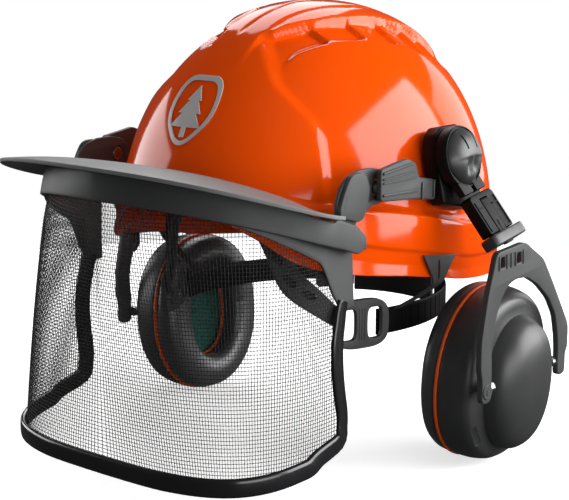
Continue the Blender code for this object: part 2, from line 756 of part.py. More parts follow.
def make_forks(axes):
    outline = [
        (-16.0, 13.2), (-19.0, 4.0), (-24.0, -9.5), (-28.0, -26.0), (-30.5, -38.0), (-30.5, -54.0), (-28.5, -61.0),
        (-28.5, -75.0), (-18.5, -75.0), (-18.5, -58.0), (-19.5, -40.0), (-15.5, -25.0), (-10.0, -15.0), (-3.0, -8.0),
        (6.0, -5.8), (18.0, -7.0), (31.5, -14.0), (45.0, -25.0), (53.5, -37.0), (57.5, -52.0), (58.5, -62.0),
        (58.5, -77.0), (67.5, -77.0), (67.5, -64.0), (70.0, -60.0), (70.0, -46.0), (62.0, -34.0), (49.0, -15.0),
        (37.0, 1.5), (26.0, 8.0), (15.0, 14.8),
    ]
    slots = [[(x - 3.0, 3.4), (x + 3.0, 3.4), (x + 2.2, 9.6), (x - 2.2, 9.6)] for x in (-10.0, 8.0)]
    placement = frame_matrix((FORK_PLANE, 0.0, 0.0), (0, 1, 0), (1, 0, 0))
    mesh = plate(outline, 4.0, placement, holes=slots, bevel=0.6)
    pair("fork", mesh, DARK, axes)
    slider = box((8.2, 29.8, 3.4), arm_frame(ARM_LENGTH - 6.6, 1.7 + 0.75), bevel=0.5)
    pair("slider", slider, BLACK, axes)


# ---------------------------------------------------------------- ear muffs


def cup_ring(x, half_width, half_height, shift_y=0.0, shift_z=0.0, count=28, power=2.15):
    return [
        Vector((CUP_CENTRE.x + x, CUP_CENTRE.y + shift_y + y, CUP_CENTRE.z + shift_z + z))
        for y, z in oval(half_width, half_height, count, power)
    ]


def make_cups(axes):
    width, height = CUP_HALF_WIDTH, CUP_HALF_HEIGHT
    rings = [
        cup_ring(16.0, width - 5.0, height - 5.0),
        cup_ring(0.9, width - 3.4, height - 3.4),
        cup_ring(0.9, width - 0.4, height - 0.4),
        cup_ring(5.0, width, height),
        cup_ring(14.0, width - 1.0, height - 1.0),
        cup_ring(19.5, width - 3.0, height - 3.0),
        cup_ring(22.0, width - 7.5, height - 6.5, 0.0, -0.5),
        cup_ring(22.6, width - 13.0, height - 9.5, 0.5, -2.0),
        cup_ring(29.0, width - 14.5, height - 11.5, 1.0, -3.0),
        cup_ring(35.0, width - 18.5, height - 16.0, 1.5, -3.0),
        cup_ring(39.0, width - 26.0, height - 25.0, 2.0, -3.0),
        cup_ring(41.2, width - 37.0, height - 38.0, 2.0, -3.0),
        [Vector((CUP_CENTRE.x + 41.8, CUP_CENTRE.y + 2.0, CUP_CENTRE.z - 3.0))],
    ]
    pivot = Vector((144.6, 0.0, CUP_PIVOT_HEIGHT))
    lean = Matrix.Translation(pivot) @ Matrix.Rotation(CUP_LEAN, 4, "Y") @ Matrix.Translation(-pivot)
    cup = loft(rings)
    cup.transform(lean)
    pair("cup", cup, BLACK, axes)

    def closed_loft(sections):
        bm = bmesh.new()
        made = [[bm.verts.new(p) for p in ring] for ring in sections]
        for first, second in zip(made, made[1:] + made[:1]):
            count = len(first)
            for i in range(count):
                j = (i + 1) % count
                bm.faces.new((first[i], first[j], second[j], second[i]))
        return mesh_from(bm)

    ring = closed_loft([
        cup_ring(-1.1, width + 0.5, height + 0.5),
        cup_ring(0.5, width + 0.5, height + 0.5),
        cup_ring(0.5, 21.0, 30.0),
        cup_ring(-1.1, 21.0, 30.0),
    ])
    ring.transform(lean)
    pair("cup_ring", ring, RING_ORANGE, axes)
    cushion = closed_loft([
        cup_ring(-1.5, width - 1.0, height - 1.0),
        cup_ring(-7.0, width - 0.5, height - 0.5),
        cup_ring(-12.5, width - 3.5, height - 3.5),
        cup_ring(-15.5, width - 10.0, height - 10.0),
        cup_ring(-15.5, 25.5, 34.5),
        cup_ring(-12.5, 21.5, 30.5),
        cup_ring(-7.0, 21.5, 30.5),
        cup_ring(-1.5, 23.0, 32.0),
    ])
    cushion.transform(lean)
    pair("cushion", cushion, CUSHION, axes)
    foam = loft([cup_ring(2.0, 33.0, 42.0), cup_ring(9.0, 33.0, 42.0)])
    foam.transform(lean)
    pair("foam", foam, FOAM_GREEN, axes)
    for name, low, high in (("front", -18.0, -12.6), ("rear", 54.8, 58.0)):
        pin = frame_matrix((144.6, low, CUP_PIVOT_HEIGHT), (0, 0, 1), (0, 1, 0))
        profile = [(0.0, high - low), (3.4, high - low), (3.4, 0.0), (0.0, 0.0)]
        post = turned(profile, 12, pin)
        pair("cup_pin_" + name, post, STEEL, axes)


def two_axes(name, point):
    point = Vector(point)
    return axis_empty(name + "_left", point), axis_empty(name + "_right", Vector((-point.x, point.y, point.z)))


def make_all():
    clear_scene()
    global PARTS, TOOLS
    PARTS, TOOLS = make_collections()
    make_shell()
    make_badge()
    make_headband()
    make_nape_adjuster(axis_empty("nape_knob_axis", (0.0, 114.2, -42.0)))
    make_buckles()
    make_hangers()
    make_crown()
    make_keys()
    make_visor(axis_empty("visor_axis", VISOR_PIVOT))
    make_brackets()
    make_adapters()
    make_hubs(two_axes("hub_axis", HUB))
    make_arms(two_axes("arm_axis", ARM_HINGE))
    make_forks(two_axes("fork_axis", ARM_HINGE + ARM_LINE * ARM_LENGTH))
    make_cups(two_axes("cup_axis", (144.6, CUP_CENTRE.y, CUP_PIVOT_HEIGHT)))


make_all()
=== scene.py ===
"""The looks of the forestry helmet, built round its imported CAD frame. Helper sizes are in millimetres."""

import math

import bmesh
import bpy
import numpy as np
from mathutils import Matrix, Vector, noise
from mathutils.bvhtree import BVHTree


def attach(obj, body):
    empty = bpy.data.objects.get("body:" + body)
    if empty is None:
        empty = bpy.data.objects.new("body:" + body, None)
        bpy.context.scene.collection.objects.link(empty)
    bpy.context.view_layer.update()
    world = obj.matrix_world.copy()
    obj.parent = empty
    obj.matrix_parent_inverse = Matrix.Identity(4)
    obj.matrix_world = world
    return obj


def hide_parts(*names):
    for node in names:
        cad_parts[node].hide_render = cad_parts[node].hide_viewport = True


MM = 0.001
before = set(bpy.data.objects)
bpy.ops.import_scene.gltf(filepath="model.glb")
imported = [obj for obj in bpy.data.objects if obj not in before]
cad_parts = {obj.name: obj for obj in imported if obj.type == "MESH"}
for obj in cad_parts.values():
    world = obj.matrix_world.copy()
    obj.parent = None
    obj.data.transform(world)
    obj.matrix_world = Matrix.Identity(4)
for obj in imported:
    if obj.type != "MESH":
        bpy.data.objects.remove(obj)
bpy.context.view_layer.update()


# ---------------------------------------------------------------- materials


def node(tree, kind, place=None, **inputs):
    """A new node with some inputs set, reading the coordinates in place when they are given."""
    made = tree.nodes.new(kind)
    for key, value in inputs.items():
        made.inputs[key.replace("_", " ")].default_value = value
    if place:
        tree.links.new(place, made.inputs["Vector"])
    return made


def material(name, colour, rough=0.5, metallic=0.0, coat=0.0, coat_rough=0.05, vary=0.12, vary_scale=35.0,
             grain_scale=900.0, grain=0.12, grain_height=0.0001, rough_spread=0.06, sheen=0.0, specular=0.5,
             pattern=None):
    """A moulded surface: mottled colour, uneven gloss and a fine grain; pattern picks another relief."""
    made = bpy.data.materials.new(name)
    made.use_nodes = True
    tree = made.node_tree
    link = tree.links.new
    shader = tree.nodes["Principled BSDF"]
    for socket, value in (("Metallic", metallic), ("Coat Weight", coat), ("Coat Roughness", coat_rough),
                          ("Sheen Weight", sheen), ("Specular IOR Level", specular)):
        shader.inputs[socket].default_value = value
    place = tree.nodes.new("ShaderNodeTexCoord").outputs["Object"]

    mottle = node(tree, "ShaderNodeTexNoise", place, Scale=vary_scale, Detail=4.0, Roughness=0.6)
    ramp = tree.nodes.new("ShaderNodeValToRGB")
    for element, position, share in zip(ramp.color_ramp.elements, (0.3, 0.7), (1 - vary, 1 + vary)):
        element.position = position
        element.color = (*[min(1.0, max(0.0, c * share)) for c in colour], 1.0)
    link(mottle.outputs["Fac"], ramp.inputs["Fac"])
    link(ramp.outputs["Color"], shader.inputs["Base Color"])

    smudge = node(tree, "ShaderNodeTexNoise", place, Scale=vary_scale * 1.7, Detail=6.0, Roughness=0.65)
    gloss = node(tree, "ShaderNodeMapRange", To_Min=max(0.02, rough - rough_spread),
                 To_Max=min(1.0, rough + rough_spread))
    link(smudge.outputs["Fac"], gloss.inputs["Value"])
    link(gloss.outputs["Result"], shader.inputs["Roughness"])

    if pattern == "weave":
        relief = weave(tree, place, shader, ramp, colour)
    elif pattern in ("foam", "leather"):
        cells = node(tree, "ShaderNodeTexVoronoi", place, Scale=grain_scale)
        if pattern == "leather":
            cells.feature = "SMOOTH_F1"
            cells.inputs["Smoothness"].default_value = 0.6
        relief = cells.outputs["Distance"]
    else:
        relief = node(tree, "ShaderNodeTexNoise", place, Scale=grain_scale, Detail=3.0, Roughness=0.5).outputs["Fac"]
    bump = node(tree, "ShaderNodeBump", Strength=grain, Distance=grain_height)
    link(relief, bump.inputs["Height"])
    link(bump.outputs["Normal"], shader.inputs["Normal"])
    return made


def weave(tree, place, shader, ramp, colour):
    """Crossed ribs of a woven tape, as a height, which also shade its colour."""
    link = tree.links.new
    cross = tree.nodes.new("ShaderNodeMath")
    cross.operation = "MULTIPLY"
    for direction, socket in zip("XZ", cross.inputs):
        wave = node(tree, "ShaderNodeTexWave", place, Scale=260.0, Distortion=0.4)
        wave.bands_direction = direction
        link(wave.outputs["Fac"], socket)
    mix = tree.nodes.new("ShaderNodeMix")
    mix.data_type = "RGBA"
    mix.inputs["B"].default_value = (*[min(1.0, c * 1.6) for c in colour], 1.0)
    link(cross.outputs["Value"], mix.inputs["Factor"])
    link(ramp.outputs["Color"], mix.inputs["A"])
    link(mix.outputs["Result"], shader.inputs["Base Color"])
    return cross.outputs["Value"]


ORANGE = material("orange_shell", (0.86, 0.074, 0.0001), 0.3, specular=0.0, coat=0.8, coat_rough=0.1, vary=0.03,
                  vary_scale=14.0, grain_scale=260.0, grain=0.05, grain_height=0.0002, rough_spread=0.03)
DARK = material("grey_moulding", (0.05, 0.051, 0.052), 0.5, vary=0.10, grain_scale=1500.0, grain=0.35)
BLACK = material("black_moulding", (0.006, 0.0062, 0.0066), 0.42, specular=0.15, vary=0.15, grain_scale=1500.0,
                 grain=0.3)
# A lighter copy of the black moulding: its dark grey is partly the plastic's own colour and partly painted highlight
# for the lit domes of the cups and hub caps.
SATIN_PAINTED_HIGHLIGHT = material("satin_black_painted_highlight", (0.032, 0.0324, 0.033), 0.4, specular=0.8, vary=0.12, grain_scale=1800.0, grain=0.22)
# The peak uses a lighter copy of the grey moulding: the grey is the plastic's own, and the extra lightness is painted
# highlight for the lit top of the peak.
PEAK_PAINTED_LIT = material("peak_grey_painted_lit", (0.155, 0.156, 0.158), 0.5, vary=0.10, grain_scale=1300.0, grain=0.5)
WIRE = material("mesh_wire", (0.012, 0.012, 0.013), 0.38, metallic=0.35, vary=0.2, grain_scale=2500.0, grain=0.2)
GLOSS = material("rim_rubber", (0.012, 0.012, 0.013), 0.24, coat=0.5, coat_rough=0.12, vary=0.15, grain_scale=700.0,
                 grain=0.1)
VINYL = material("cushion_vinyl", (0.045, 0.0455, 0.047), 0.36, specular=0.8, vary=0.12, grain_scale=1400.0,
                 grain=0.35, pattern="leather", sheen=0.05)
SWEAT = material("sweatband_cloth", (0.03, 0.031, 0.033), 0.85, vary=0.2, grain_scale=1200.0, grain=0.6,
                 pattern="leather", sheen=0.3)
RING = material("ring_orange", (0.72, 0.10, 0.012), 0.4, vary=0.06, grain_scale=1500.0, grain=0.2)
FOAM = material("foam_green", (0.006, 0.085, 0.062), 0.95, vary=0.3, vary_scale=120.0, grain_scale=700.0, grain=0.9,
                grain_height=0.0006, pattern="foam")
WEBBING = material("webbing", (0.028, 0.0285, 0.03), 0.8, vary=0.15, grain=0.7, grain_height=0.0004, pattern="weave",
                   sheen=0.2)
SILVER = material("badge_silver", (0.56, 0.545, 0.525), 0.34, metallic=0.25, coat=0.4, vary=0.04, grain_scale=900.0,
                  grain=0.1)
STEEL = material("pin_steel", (0.42, 0.43, 0.44), 0.3, metallic=1.0, vary=0.1, grain_scale=1600.0, grain=0.2)


# ---------------------------------------------------------------- mesh helpers


def mesh_from(bm):
    bmesh.ops.recalc_face_normals(bm, faces=bm.faces)
    mesh = bpy.data.meshes.new("piece")
    bm.to_mesh(mesh)
    bm.free()
    return mesh


def linked(name, data):
    obj = bpy.data.objects.new(name, data)
    bpy.context.scene.collection.objects.link(obj)
    return obj


def applied(data, modifiers=()):
    """The mesh that a mesh or curve turns into with its modifiers."""
    holder = linked("holder", data)
    for kind, settings in modifiers:
        modifier = holder.modifiers.new(kind, kind)
        for key, value in settings.items():
            setattr(modifier, key, value)
    bpy.context.view_layer.update()
    graph = bpy.context.evaluated_depsgraph_get()
    made = bpy.data.meshes.new_from_object(holder.evaluated_get(graph))
    bpy.data.objects.remove(holder, do_unlink=True)
    return made


def bevelled(mesh, width, segments=3, angle=35.0):
    return applied(mesh, [("BEVEL", {"width": width, "segments": segments, "limit_method": "ANGLE",
                                     "angle_limit": math.radians(angle), "use_clamp_overlap": True})])


def joined(meshes):
    bm = bmesh.new()
    for mesh in meshes:
        bm.from_mesh(mesh)
    made = bpy.data.meshes.new("piece")
    bm.to_mesh(made)
    bm.free()
    return made


def piece(name, mesh, look, body, nodes=(), slot=None, sharp=42.0):
    """Links a mesh given in millimetres, riding on a body and standing for CAD nodes."""
    mesh.name = name
    mesh.transform(Matrix.Scale(MM, 4))
    mesh.materials.clear()
    mesh.materials.append(look)
    mesh.shade_smooth()
    if sharp:
        mesh.set_sharp_from_angle(angle=math.radians(sharp))
    obj = linked(name, mesh)
    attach(obj, body)
    if nodes:
        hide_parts(*nodes)
    return obj


def mirrored(mesh):
    copy = mesh.copy()
    copy.transform(Matrix.Scale(-1.0, 4, (1.0, 0.0, 0.0)))
    copy.flip_normals()
    return copy


def pair(name, mesh, look, body, nodes=(), slot=None, **more):
    """The left piece and its mirrored twin; names of bodies and nodes come without the side, but for shared bodies."""
    twin = mirrored(mesh)
    made = []
    for side, shape in (("left", mesh), ("right", twin)):
        own = body if body in ("helmet", "visor") else f"{body}_{side}"
        made.append(piece(f"{name}_{side}", shape, look, own, [f"{n}_{side}" for n in nodes], slot, **more))
    return made


def frame_matrix(origin, x_axis, z_axis):
    x = Vector(x_axis).normalized()
    z = Vector(z_axis)
    z = (z - z.project(x)).normalized()
    rotation = Matrix((x, z.cross(x), z)).transposed().to_4x4()
    return Matrix.Translation(Vector(origin)) @ rotation


def upright(x, y=0.0, z=0.0):
    """A placement for an outline drawn in (y, z), facing outwards at x from the middle."""
    return frame_matrix((x, y, z), (0, 1, 0), (1, 0, 0))


def grid(columns, rows, place):
    bm = bmesh.new()
    lattice = [[bm.verts.new(place(c / columns, r / rows)) for c in range(columns + 1)] for r in range(rows + 1)]
    for low, high in zip(lattice, lattice[1:]):
        for i in range(columns):
            bm.faces.new((low[i], low[i + 1], high[i + 1], high[i]))
    return mesh_from(bm)


def sheet(columns, rows, place, thickness, edge=0.0, segments=2, even=False):
    """A sheet of even thickness on both sides of a surface given over the unit square."""
    mesh = applied(grid(columns, rows, place), [
        ("SOLIDIFY", {"thickness": thickness, "offset": 0.0, "use_even_offset": even})])
    return bevelled(mesh, edge, segments, 50.0) if edge else mesh


def rounded(points, radius, steps=5):
    """The outline with its corners rounded, as far as the sides allow."""
    out = []
    for i, point in enumerate(points):
        before, here, after = (Vector(points[i - 1]), Vector(point), Vector(points[(i + 1) % len(points)]))
        a, b = before - here, after - here
        reach = min(radius, 0.48 * a.length, 0.48 * b.length)
        start, end = here + a.normalized() * reach, here + b.normalized() * reach
        for step in range(steps + 1):
            t = step / steps
            out.append(tuple(start * (1 - t) ** 2 + here * 2 * t * (1 - t) + end * t**2))
    return out


def plate(outline, thickness, placement, holes=(), bevel=0.0, resolution=2):
    curve = bpy.data.curves.new("outline", "CURVE")
    curve.dimensions = "2D"
    curve.fill_mode = "BOTH"
    curve.extrude = thickness / 2 - bevel
    curve.bevel_depth = bevel
    curve.bevel_resolution = resolution
    curve.offset = -bevel
    for points in (outline, *holes):
        spline = curve.splines.new("POLY")
        spline.points.add(len(points) - 1)
        for target, (x, y) in zip(spline.points, points):
            target.co = (x, y, 0.0, 1.0)
        spline.use_cyclic_u = True
    bm = bmesh.new()
    bm.from_mesh(applied(curve))
    bmesh.ops.remove_doubles(bm, verts=bm.verts, dist=0.001)
    made = mesh_from(bm)
    made.transform(placement)
    return made


def turned(profile, steps, placement):
    """A solid of revolution about local Z from (radius, height) points."""
    bm = bmesh.new()
    rings = []
    for radius, height in profile:
        if radius < 1e-6:
            rings.append([bm.verts.new((0.0, 0.0, height))])
        else:
            rings.append([bm.verts.new((radius * math.cos(a), radius * math.sin(a), height)) for a in circle(steps)])
    bridge(bm, rings)
    mesh = mesh_from(bm)
    mesh.transform(placement)
    return mesh


def bridge(bm, rings, looped=False):
    for first, second in zip(rings, rings[1:] + (rings[:1] if looped else [])):
        count = max(len(first), len(second))
        for i in range(count):
            j = (i + 1) % count
            if len(first) == 1:
                bm.faces.new((first[0], second[i], second[j]))
            elif len(second) == 1:
                bm.faces.new((first[i], first[j], second[0]))
            else:
                bm.faces.new((first[i], first[j], second[j], second[i]))


def loft(rings, looped=False, caps=True):
    bm = bmesh.new()
    made = [[bm.verts.new(Vector(p)) for p in ring] for ring in rings]
    bridge(bm, made, looped)
    if caps and not looped:
        for ring in (made[0], made[-1]):
            if len(ring) > 1:
                bm.faces.new(ring)
    return mesh_from(bm)


def box(size, placement, bevel=0.0, segments=3):
    bm = bmesh.new()
    bmesh.ops.create_cube(bm, size=1.0)
    bmesh.ops.scale(bm, vec=size, verts=bm.verts)
    if bevel:
        bmesh.ops.bevel(bm, geom=bm.edges, offset=bevel, segments=segments, affect="EDGES", profile=0.5)
    made = mesh_from(bm)
    made.transform(placement)
    return made


def circle(count, start=0.0, end=None):
    if end is None:
        return [2 * math.pi * i / count for i in range(count)]
    return [start + (end - start) * i / (count - 1) for i in range(count)]


def oval(half_y, half_z, count, power=2.0):
    def reach(half, share):
        return half * math.copysign(abs(share) ** (2 / power), share)

    return [(reach(half_y, math.cos(angle)), reach(half_z, math.sin(angle))) for angle in circle(count)]


def cut(mesh, *tools):
    """The mesh less each closed tool."""
    for tool in tools:
        holder = linked("cutter", tool)
        mesh = applied(mesh, [("BOOLEAN", {"operation": "DIFFERENCE", "object": holder, "solver": "EXACT"})])
        bpy.data.objects.remove(holder, do_unlink=True)
    return mesh


def step(value, low, high):
    t = min(1.0, max(0.0, (value - low) / (high - low)))
    return t * t * (3 - 2 * t)


def along(table, at):
    """Reads a table of (at, value) pairs, straight between its entries."""
    if at <= table[0][0]:
        return table[0][1]
    for (y0, a), (y1, b) in zip(table, table[1:]):
        if at <= y1:
            return a + (b - a) * (at - y0) / (y1 - y0)
    return table[-1][1]


def softly_along(table, at, reach=5.0):
    """The same, averaged over a short stretch, so that the table's corners don't show."""
    return sum(along(table, at + reach * share) for share in (-1.0, -0.5, 0.0, 0.5, 1.0)) / 5


# ---------------------------------------------------------------- shell

HALF_WIDTH, HALF_LENGTH, TOP, BASE = 108.0, 137.0, 150.0, -5.0
RISE_POWER, PLAN_POWER = 2.334, 2.08
WALL = 2.4
BELT, RIM = 3.4, 2.0
RIM_HEIGHTS = (
    (-141, 40.0), (-134, 37.0), (-124, 29.5), (-115, 20.5), (-108, 13.0), (-100, 8.5), (-87, 4.5), (-72, 2.0),
    (-45, -1.5), (-16, -6.5), (6, -11.5), (33, -15.0), (70, -18.5), (141, -24.0),
)
BELT_TOPS = ((-141, 58.0), (-124, 50.0), (-100, 43.0), (-62, 39.0), (-30, 33.0), (14, 23.0), (141, 14.0))
BELT_FEET = (
    (-141, 48.0), (-130, 40.0), (-115, 31.0), (-100, 24.5), (-80, 21.0), (-50, 14.5), (-20, 9.0), (12, 1.5),
    (60, -4.0), (141, -9.0),
)
BAND_EDGE = (
    (-92, 17.0), (-65, 15.0), (-61, 20.0), (-52, 24.5), (-36, 32.0), (-12, 38.5), (19, 43.0), (50, 43.0), (78, 37.0),
    (100, 30.0),
)
CHANNEL_EDGE = (
    (-81, 43.0), (-73, 38.0), (-62, 38.5), (-49, 43.0), (-22, 52.0), (-5, 55.5), (7, 59.5), (32, 62.5), (59, 60.5),
    (85, 53.0),
)
WALLS = (-41.0, -14.0, 11.0, 35.0, 55.0, 72.0)
PANEL_FRONT = (
    (35, -42.0), (63.5, -42.2), (83, -43.5), (91, -46.8), (98.6, -52.4), (107.5, -59.8), (115, -64.0), (125, -70.0),
    (135, -76.0),
)
PANEL_BACK = (
    (35, -38.0), (65, -39.0), (79.5, -40.0), (91, -43.0), (101, -49.0), (111, -55.5), (120, -58.0), (128, -62.0),
    (134, -66.0),
)
PANEL_DEPTH, PANEL_END = 2.3, (56.0, 63.0)
VENT_START, VENT_END = -78.0, 84.0
GROOVE_HALF, GROOVE_DEPTH, GROOVE_END = 2.4, 1.25, 96.0


def dome_share(z):
    rise = min(1.0, max(0.0, (z - BASE) / (TOP - BASE)))
    return max(0.0, 1 - rise**RISE_POWER) ** (1 / PLAN_POWER)


def shell_point(angle, z, out=0.0):
    share = dome_share(z)
    return Vector(((HALF_WIDTH * share + out) * math.cos(angle), (HALF_LENGTH * share + out) * math.sin(angle), z))


def dome_normal(x, y, z):
    share = max(1e-4, math.hypot(x / HALF_WIDTH, y / HALF_LENGTH))
    rise = max(1e-4, (z - BASE) / (TOP - BASE))
    across = PLAN_POWER * share ** (PLAN_POWER - 2)
    return Vector((across * x / HALF_WIDTH**2, across * y / HALF_LENGTH**2,
                   RISE_POWER * rise ** (RISE_POWER - 1) / (TOP - BASE))).normalized()


def panel_share(x, y, z):
    """How far inside the sunk panel on the side of the shell a point is, from 0 to 1."""
    degrees = math.degrees(math.atan2(y / HALF_LENGTH, abs(x) / HALF_WIDTH))
    return step(degrees, along(PANEL_FRONT, z), along(PANEL_BACK, z)) * (1 - step(degrees, *PANEL_END))


def crown_relief(x, y, z):
    """How far the dome stands out at a point: the crown band, its grooves, the vent channels and the side panels."""
    side = abs(x)
    edge = along(BAND_EDGE, y)
    outside = step(side, edge - 1.6, edge + 1.2)
    lift = 1.7 * step(y, -96.0, -60.0) * (1 - step(y, 84.0, 104.0)) * (1 - outside)

    for groove, first in ((0.0, -72.0), (17.0 + 9.0 * step(y, -50.0, 10.0), -64.0)):
        away = abs(side - groove)
        if first < y < GROOVE_END and away < GROOVE_HALF:
            deep = step(y, first, first + 14.0) * (1 - step(y, GROOVE_END - 14.0, GROOVE_END))
            lift -= deep * GROOVE_DEPTH * (1 - away / GROOVE_HALF)
    lift -= PANEL_DEPTH * outside * panel_share(x, y, z)

    gutter = along(CHANNEL_EDGE, y)
    inside = step(side, edge - 1.2, edge + 1.4) * (1 - step(side, gutter - 1.6, gutter + 0.6))
    if VENT_START < y < VENT_END and inside > 0:
        start = VENT_START
        for wall in WALLS:
            if y <= wall + 1.0:
                share = (y - start) / (wall - start)
                rise = step(y, wall - 0.6, wall + 0.9)
                depth = (0.5 + 3.0 * min(1.0, share) ** 1.1) * (1 - rise) + 0.5 * rise
                break
            start = wall
        else:
            depth = 0.2 + 1.4 * (1 - step(y, 72.0, VENT_END))
        depth *= step(y, VENT_START, -68.0) * (1 - step(y, 76.0, VENT_END))
        lift -= inside * depth
    return lift


def shell_surface(angle, rows):
    """The outline of the shell at an angle, from the rim to the crown, with its ledges eased."""
    y = (HALF_LENGTH + RIM) * math.sin(angle)
    rim, foot, top = (softly_along(table, y) for table in (RIM_HEIGHTS, BELT_FEET, BELT_TOPS))
    low = [
        (rim, RIM + 0.6), (rim + (foot - rim) * 0.45, RIM - 0.4), (foot - 1.2, RIM), (foot + 1.2, BELT),
        (top - 1.6, BELT), (top + 1.6, 0.0),
    ]
    dense = []
    for (z0, o0), (z1, o1), count in zip(low, low[1:], (12, 10, 7, 22, 9)):
        dense += [(z0 + (z1 - z0) * i / count, o0 + (o1 - o0) * i / count) for i in range(count)]
    dense.append(low[-1])
    for _ in range(3):
        dense = [dense[0]] + [
            tuple((a[k] + 2 * b[k] + c[k]) / 4 for k in (0, 1)) for a, b, c in zip(dense, dense[1:], dense[2:])
        ] + [dense[-1]]
    points = []
    for z, out in dense:
        share = step(z, top - 6.0, top + 4.0)
        point = shell_point(angle, z, out)
        if share > 0 and out < 2.5:
            point -= dome_normal(*point) * PANEL_DEPTH * panel_share(point.x, point.y, z) * share
        points.append(point)
    lowest = math.asin((top + 1.6 - BASE) / (TOP - BASE))
    for row in range(1, rows + 1):
        z = BASE + (TOP - BASE) * math.sin(lowest + (math.pi / 2 - lowest) * row / rows)
        point = shell_point(angle, z)
        points.append(point + dome_normal(*point) * crown_relief(point.x, point.y, z))
    return points


def make_shell():
    around, rows = 320, 92
    columns = [shell_surface(2 * math.pi * i / around, rows) for i in range(around)]
    crown = Vector((0.0, 0.0, TOP)) + Vector((0, 0, 1)) * crown_relief(0.0, 0.0, TOP)
    bm = bmesh.new()
    verts = [[bm.verts.new(p) for p in column[:-1]] for column in columns]
    tip = bm.verts.new(crown)
    for i in range(around):
        here, there = verts[i], verts[(i + 1) % around]
        for a, b, c, d in zip(here, there, there[1:], here[1:]):
            bm.faces.new((a, b, c, d))
        bm.faces.new((here[-1], there[-1], tip))
    mesh = mesh_from(bm)
    mesh = applied(mesh, [("SOLIDIFY", {"thickness": WALL, "offset": -1.0, "use_even_offset": False})])
    piece("shell_skin", mesh, ORANGE, "helmet", ["shell"], "shell_orange", sharp=0)


def make_badge():
    """A generic badge on the brow: a rounded shield with a plain conifer raised on it."""

    def on_brow(x, z, out):
        angle = -math.pi / 2 + x / (HALF_WIDTH * 0.86)
        return shell_point(angle, 92.0 + z, 0.3 + out)

    outer = rounded([(-17.5, 20.0), (17.5, 20.0), (19.0, -2.0), (0.0, -22.0), (-19.0, -2.0)], 11.0, 8)
    inner = [(x * 0.86, z * 0.86) for x, z in outer]
    edges = ((outer, 0.1), (outer, 0.9), (inner, 0.9), (inner, 0.1))
    rim = loft([[on_brow(x, z, height) for x, z in outline] for outline, height in edges], looped=True)
    tree = [(0, 14.5), (5.5, 6.5), (3.4, 6.5), (8.5, -0.5), (5.2, -0.5), (11.0, -8.0), (1.6, -8.0), (1.6, -13.5),
            (-1.6, -13.5), (-1.6, -8.0), (-11.0, -8.0), (-5.2, -0.5), (-8.5, -0.5), (-3.4, 6.5), (-5.5, 6.5)]
    fine = []
    for a, b in zip(tree, tree[1:] + tree[:1]):
        fine += [(a[0] + (b[0] - a[0]) * i / 3, a[1] + (b[1] - a[1]) * i / 3) for i in range(3)]
    bm = bmesh.new()
    low = [bm.verts.new(on_brow(x, z, 0.1)) for x, z in fine]
    high = [bm.verts.new(on_brow(x, z, 0.9)) for x, z in fine]
    bridge(bm, [low, high])
    bm.faces.new(high)
    bmesh.ops.triangulate(bm, faces=[f for f in bm.faces if len(f.verts) > 4])
    conifer = mesh_from(bm)
    piece("badge_mark", joined([rim, conifer]), SILVER, "helmet", ["badge"], "badge_silver", sharp=35)


make_shell()
make_badge()


# ---------------------------------------------------------------- visor

PIVOT = Vector((0.0, -72.0, 54.0))
PEAK_OUTER = {"width": 113.3, "depth": 92.5, "middle": -113.5, "front": 71.7, "end": 43.8, "fall": 1.04, "power": 2.42}
PEAK_INNER = {"width": 97.0, "depth": 40.5, "middle": -110.0, "front": 64.5, "end": 40.5, "fall": 1.04, "power": 2.15}
SIDE_BAR = ((-95, -114.0), (-88, -106.0), (-80, -103.0), (-70, -102.5), (-58, -104.5), (-44, -106.0), (-28, -105.0),
            (-12, -101.5), (4, -96.0), (14, -91.5))
WIRE_THICK, WIRE_WAVE, WIRE_COUNT = 0.28, 0.22, 178


def rim_curve(shape, degrees):
    c, s = math.cos(math.radians(degrees)), math.sin(math.radians(degrees))
    power = 2 / shape["power"]
    fall = max(0.0, 1 - abs(s)) ** shape["fall"]
    return Vector((shape["width"] * math.copysign(abs(c) ** power, c),
                   shape["middle"] - shape["depth"] * abs(s) ** power,
                   shape["front"] + (shape["end"] - shape["front"]) * fall))


def visor_surface(degrees, z, out=0.0):
    down = (30.0 - z) / 125.0
    lean = 0.1 * max(0.0, z - 28.0)
    width = 98.0 + 3.5 * (13.0 - z) / 99.0 + out
    depth = 84.0 + 1.0 * down + out - lean
    middle = -105.5 + 2.0 * down
    power = 2 / (2.0 + 1.2 * down)
    inside = min(180.0, max(0.0, degrees))
    back = max(-degrees, degrees - 180.0, 0.0) * 1.2
    c, s = math.cos(math.radians(inside)), math.sin(math.radians(inside))
    if back:
        return Vector((math.copysign(width, c), middle + back, z))
    return Vector((width * math.copysign(abs(c) ** power, c), middle - depth * abs(s) ** power, z))


def side_degrees(z):
    target = along(SIDE_BAR, z)
    low, high = -20.0, 60.0
    for _ in range(40):
        middle = (low + high) / 2
        if visor_surface(middle, z).y > target:
            low = middle
        else:
            high = middle
    return low


def inner_sine(degrees):
    return math.sin(math.radians(min(180.0, max(0.0, degrees))))


def mesh_top(degrees):
    return 55.4 - 42.4 * (1 - abs(inner_sine(degrees))) ** 1.14


def mesh_bottom(degrees):
    return -99.3 + 7.0 * (1 - abs(inner_sine(degrees))) ** 2.4


def band_top(degrees):
    back = max(-degrees, degrees - 180.0, 0.0)
    return 67.2 - 27.2 * (1 - abs(inner_sine(degrees))) ** 1.04 - 0.45 * back


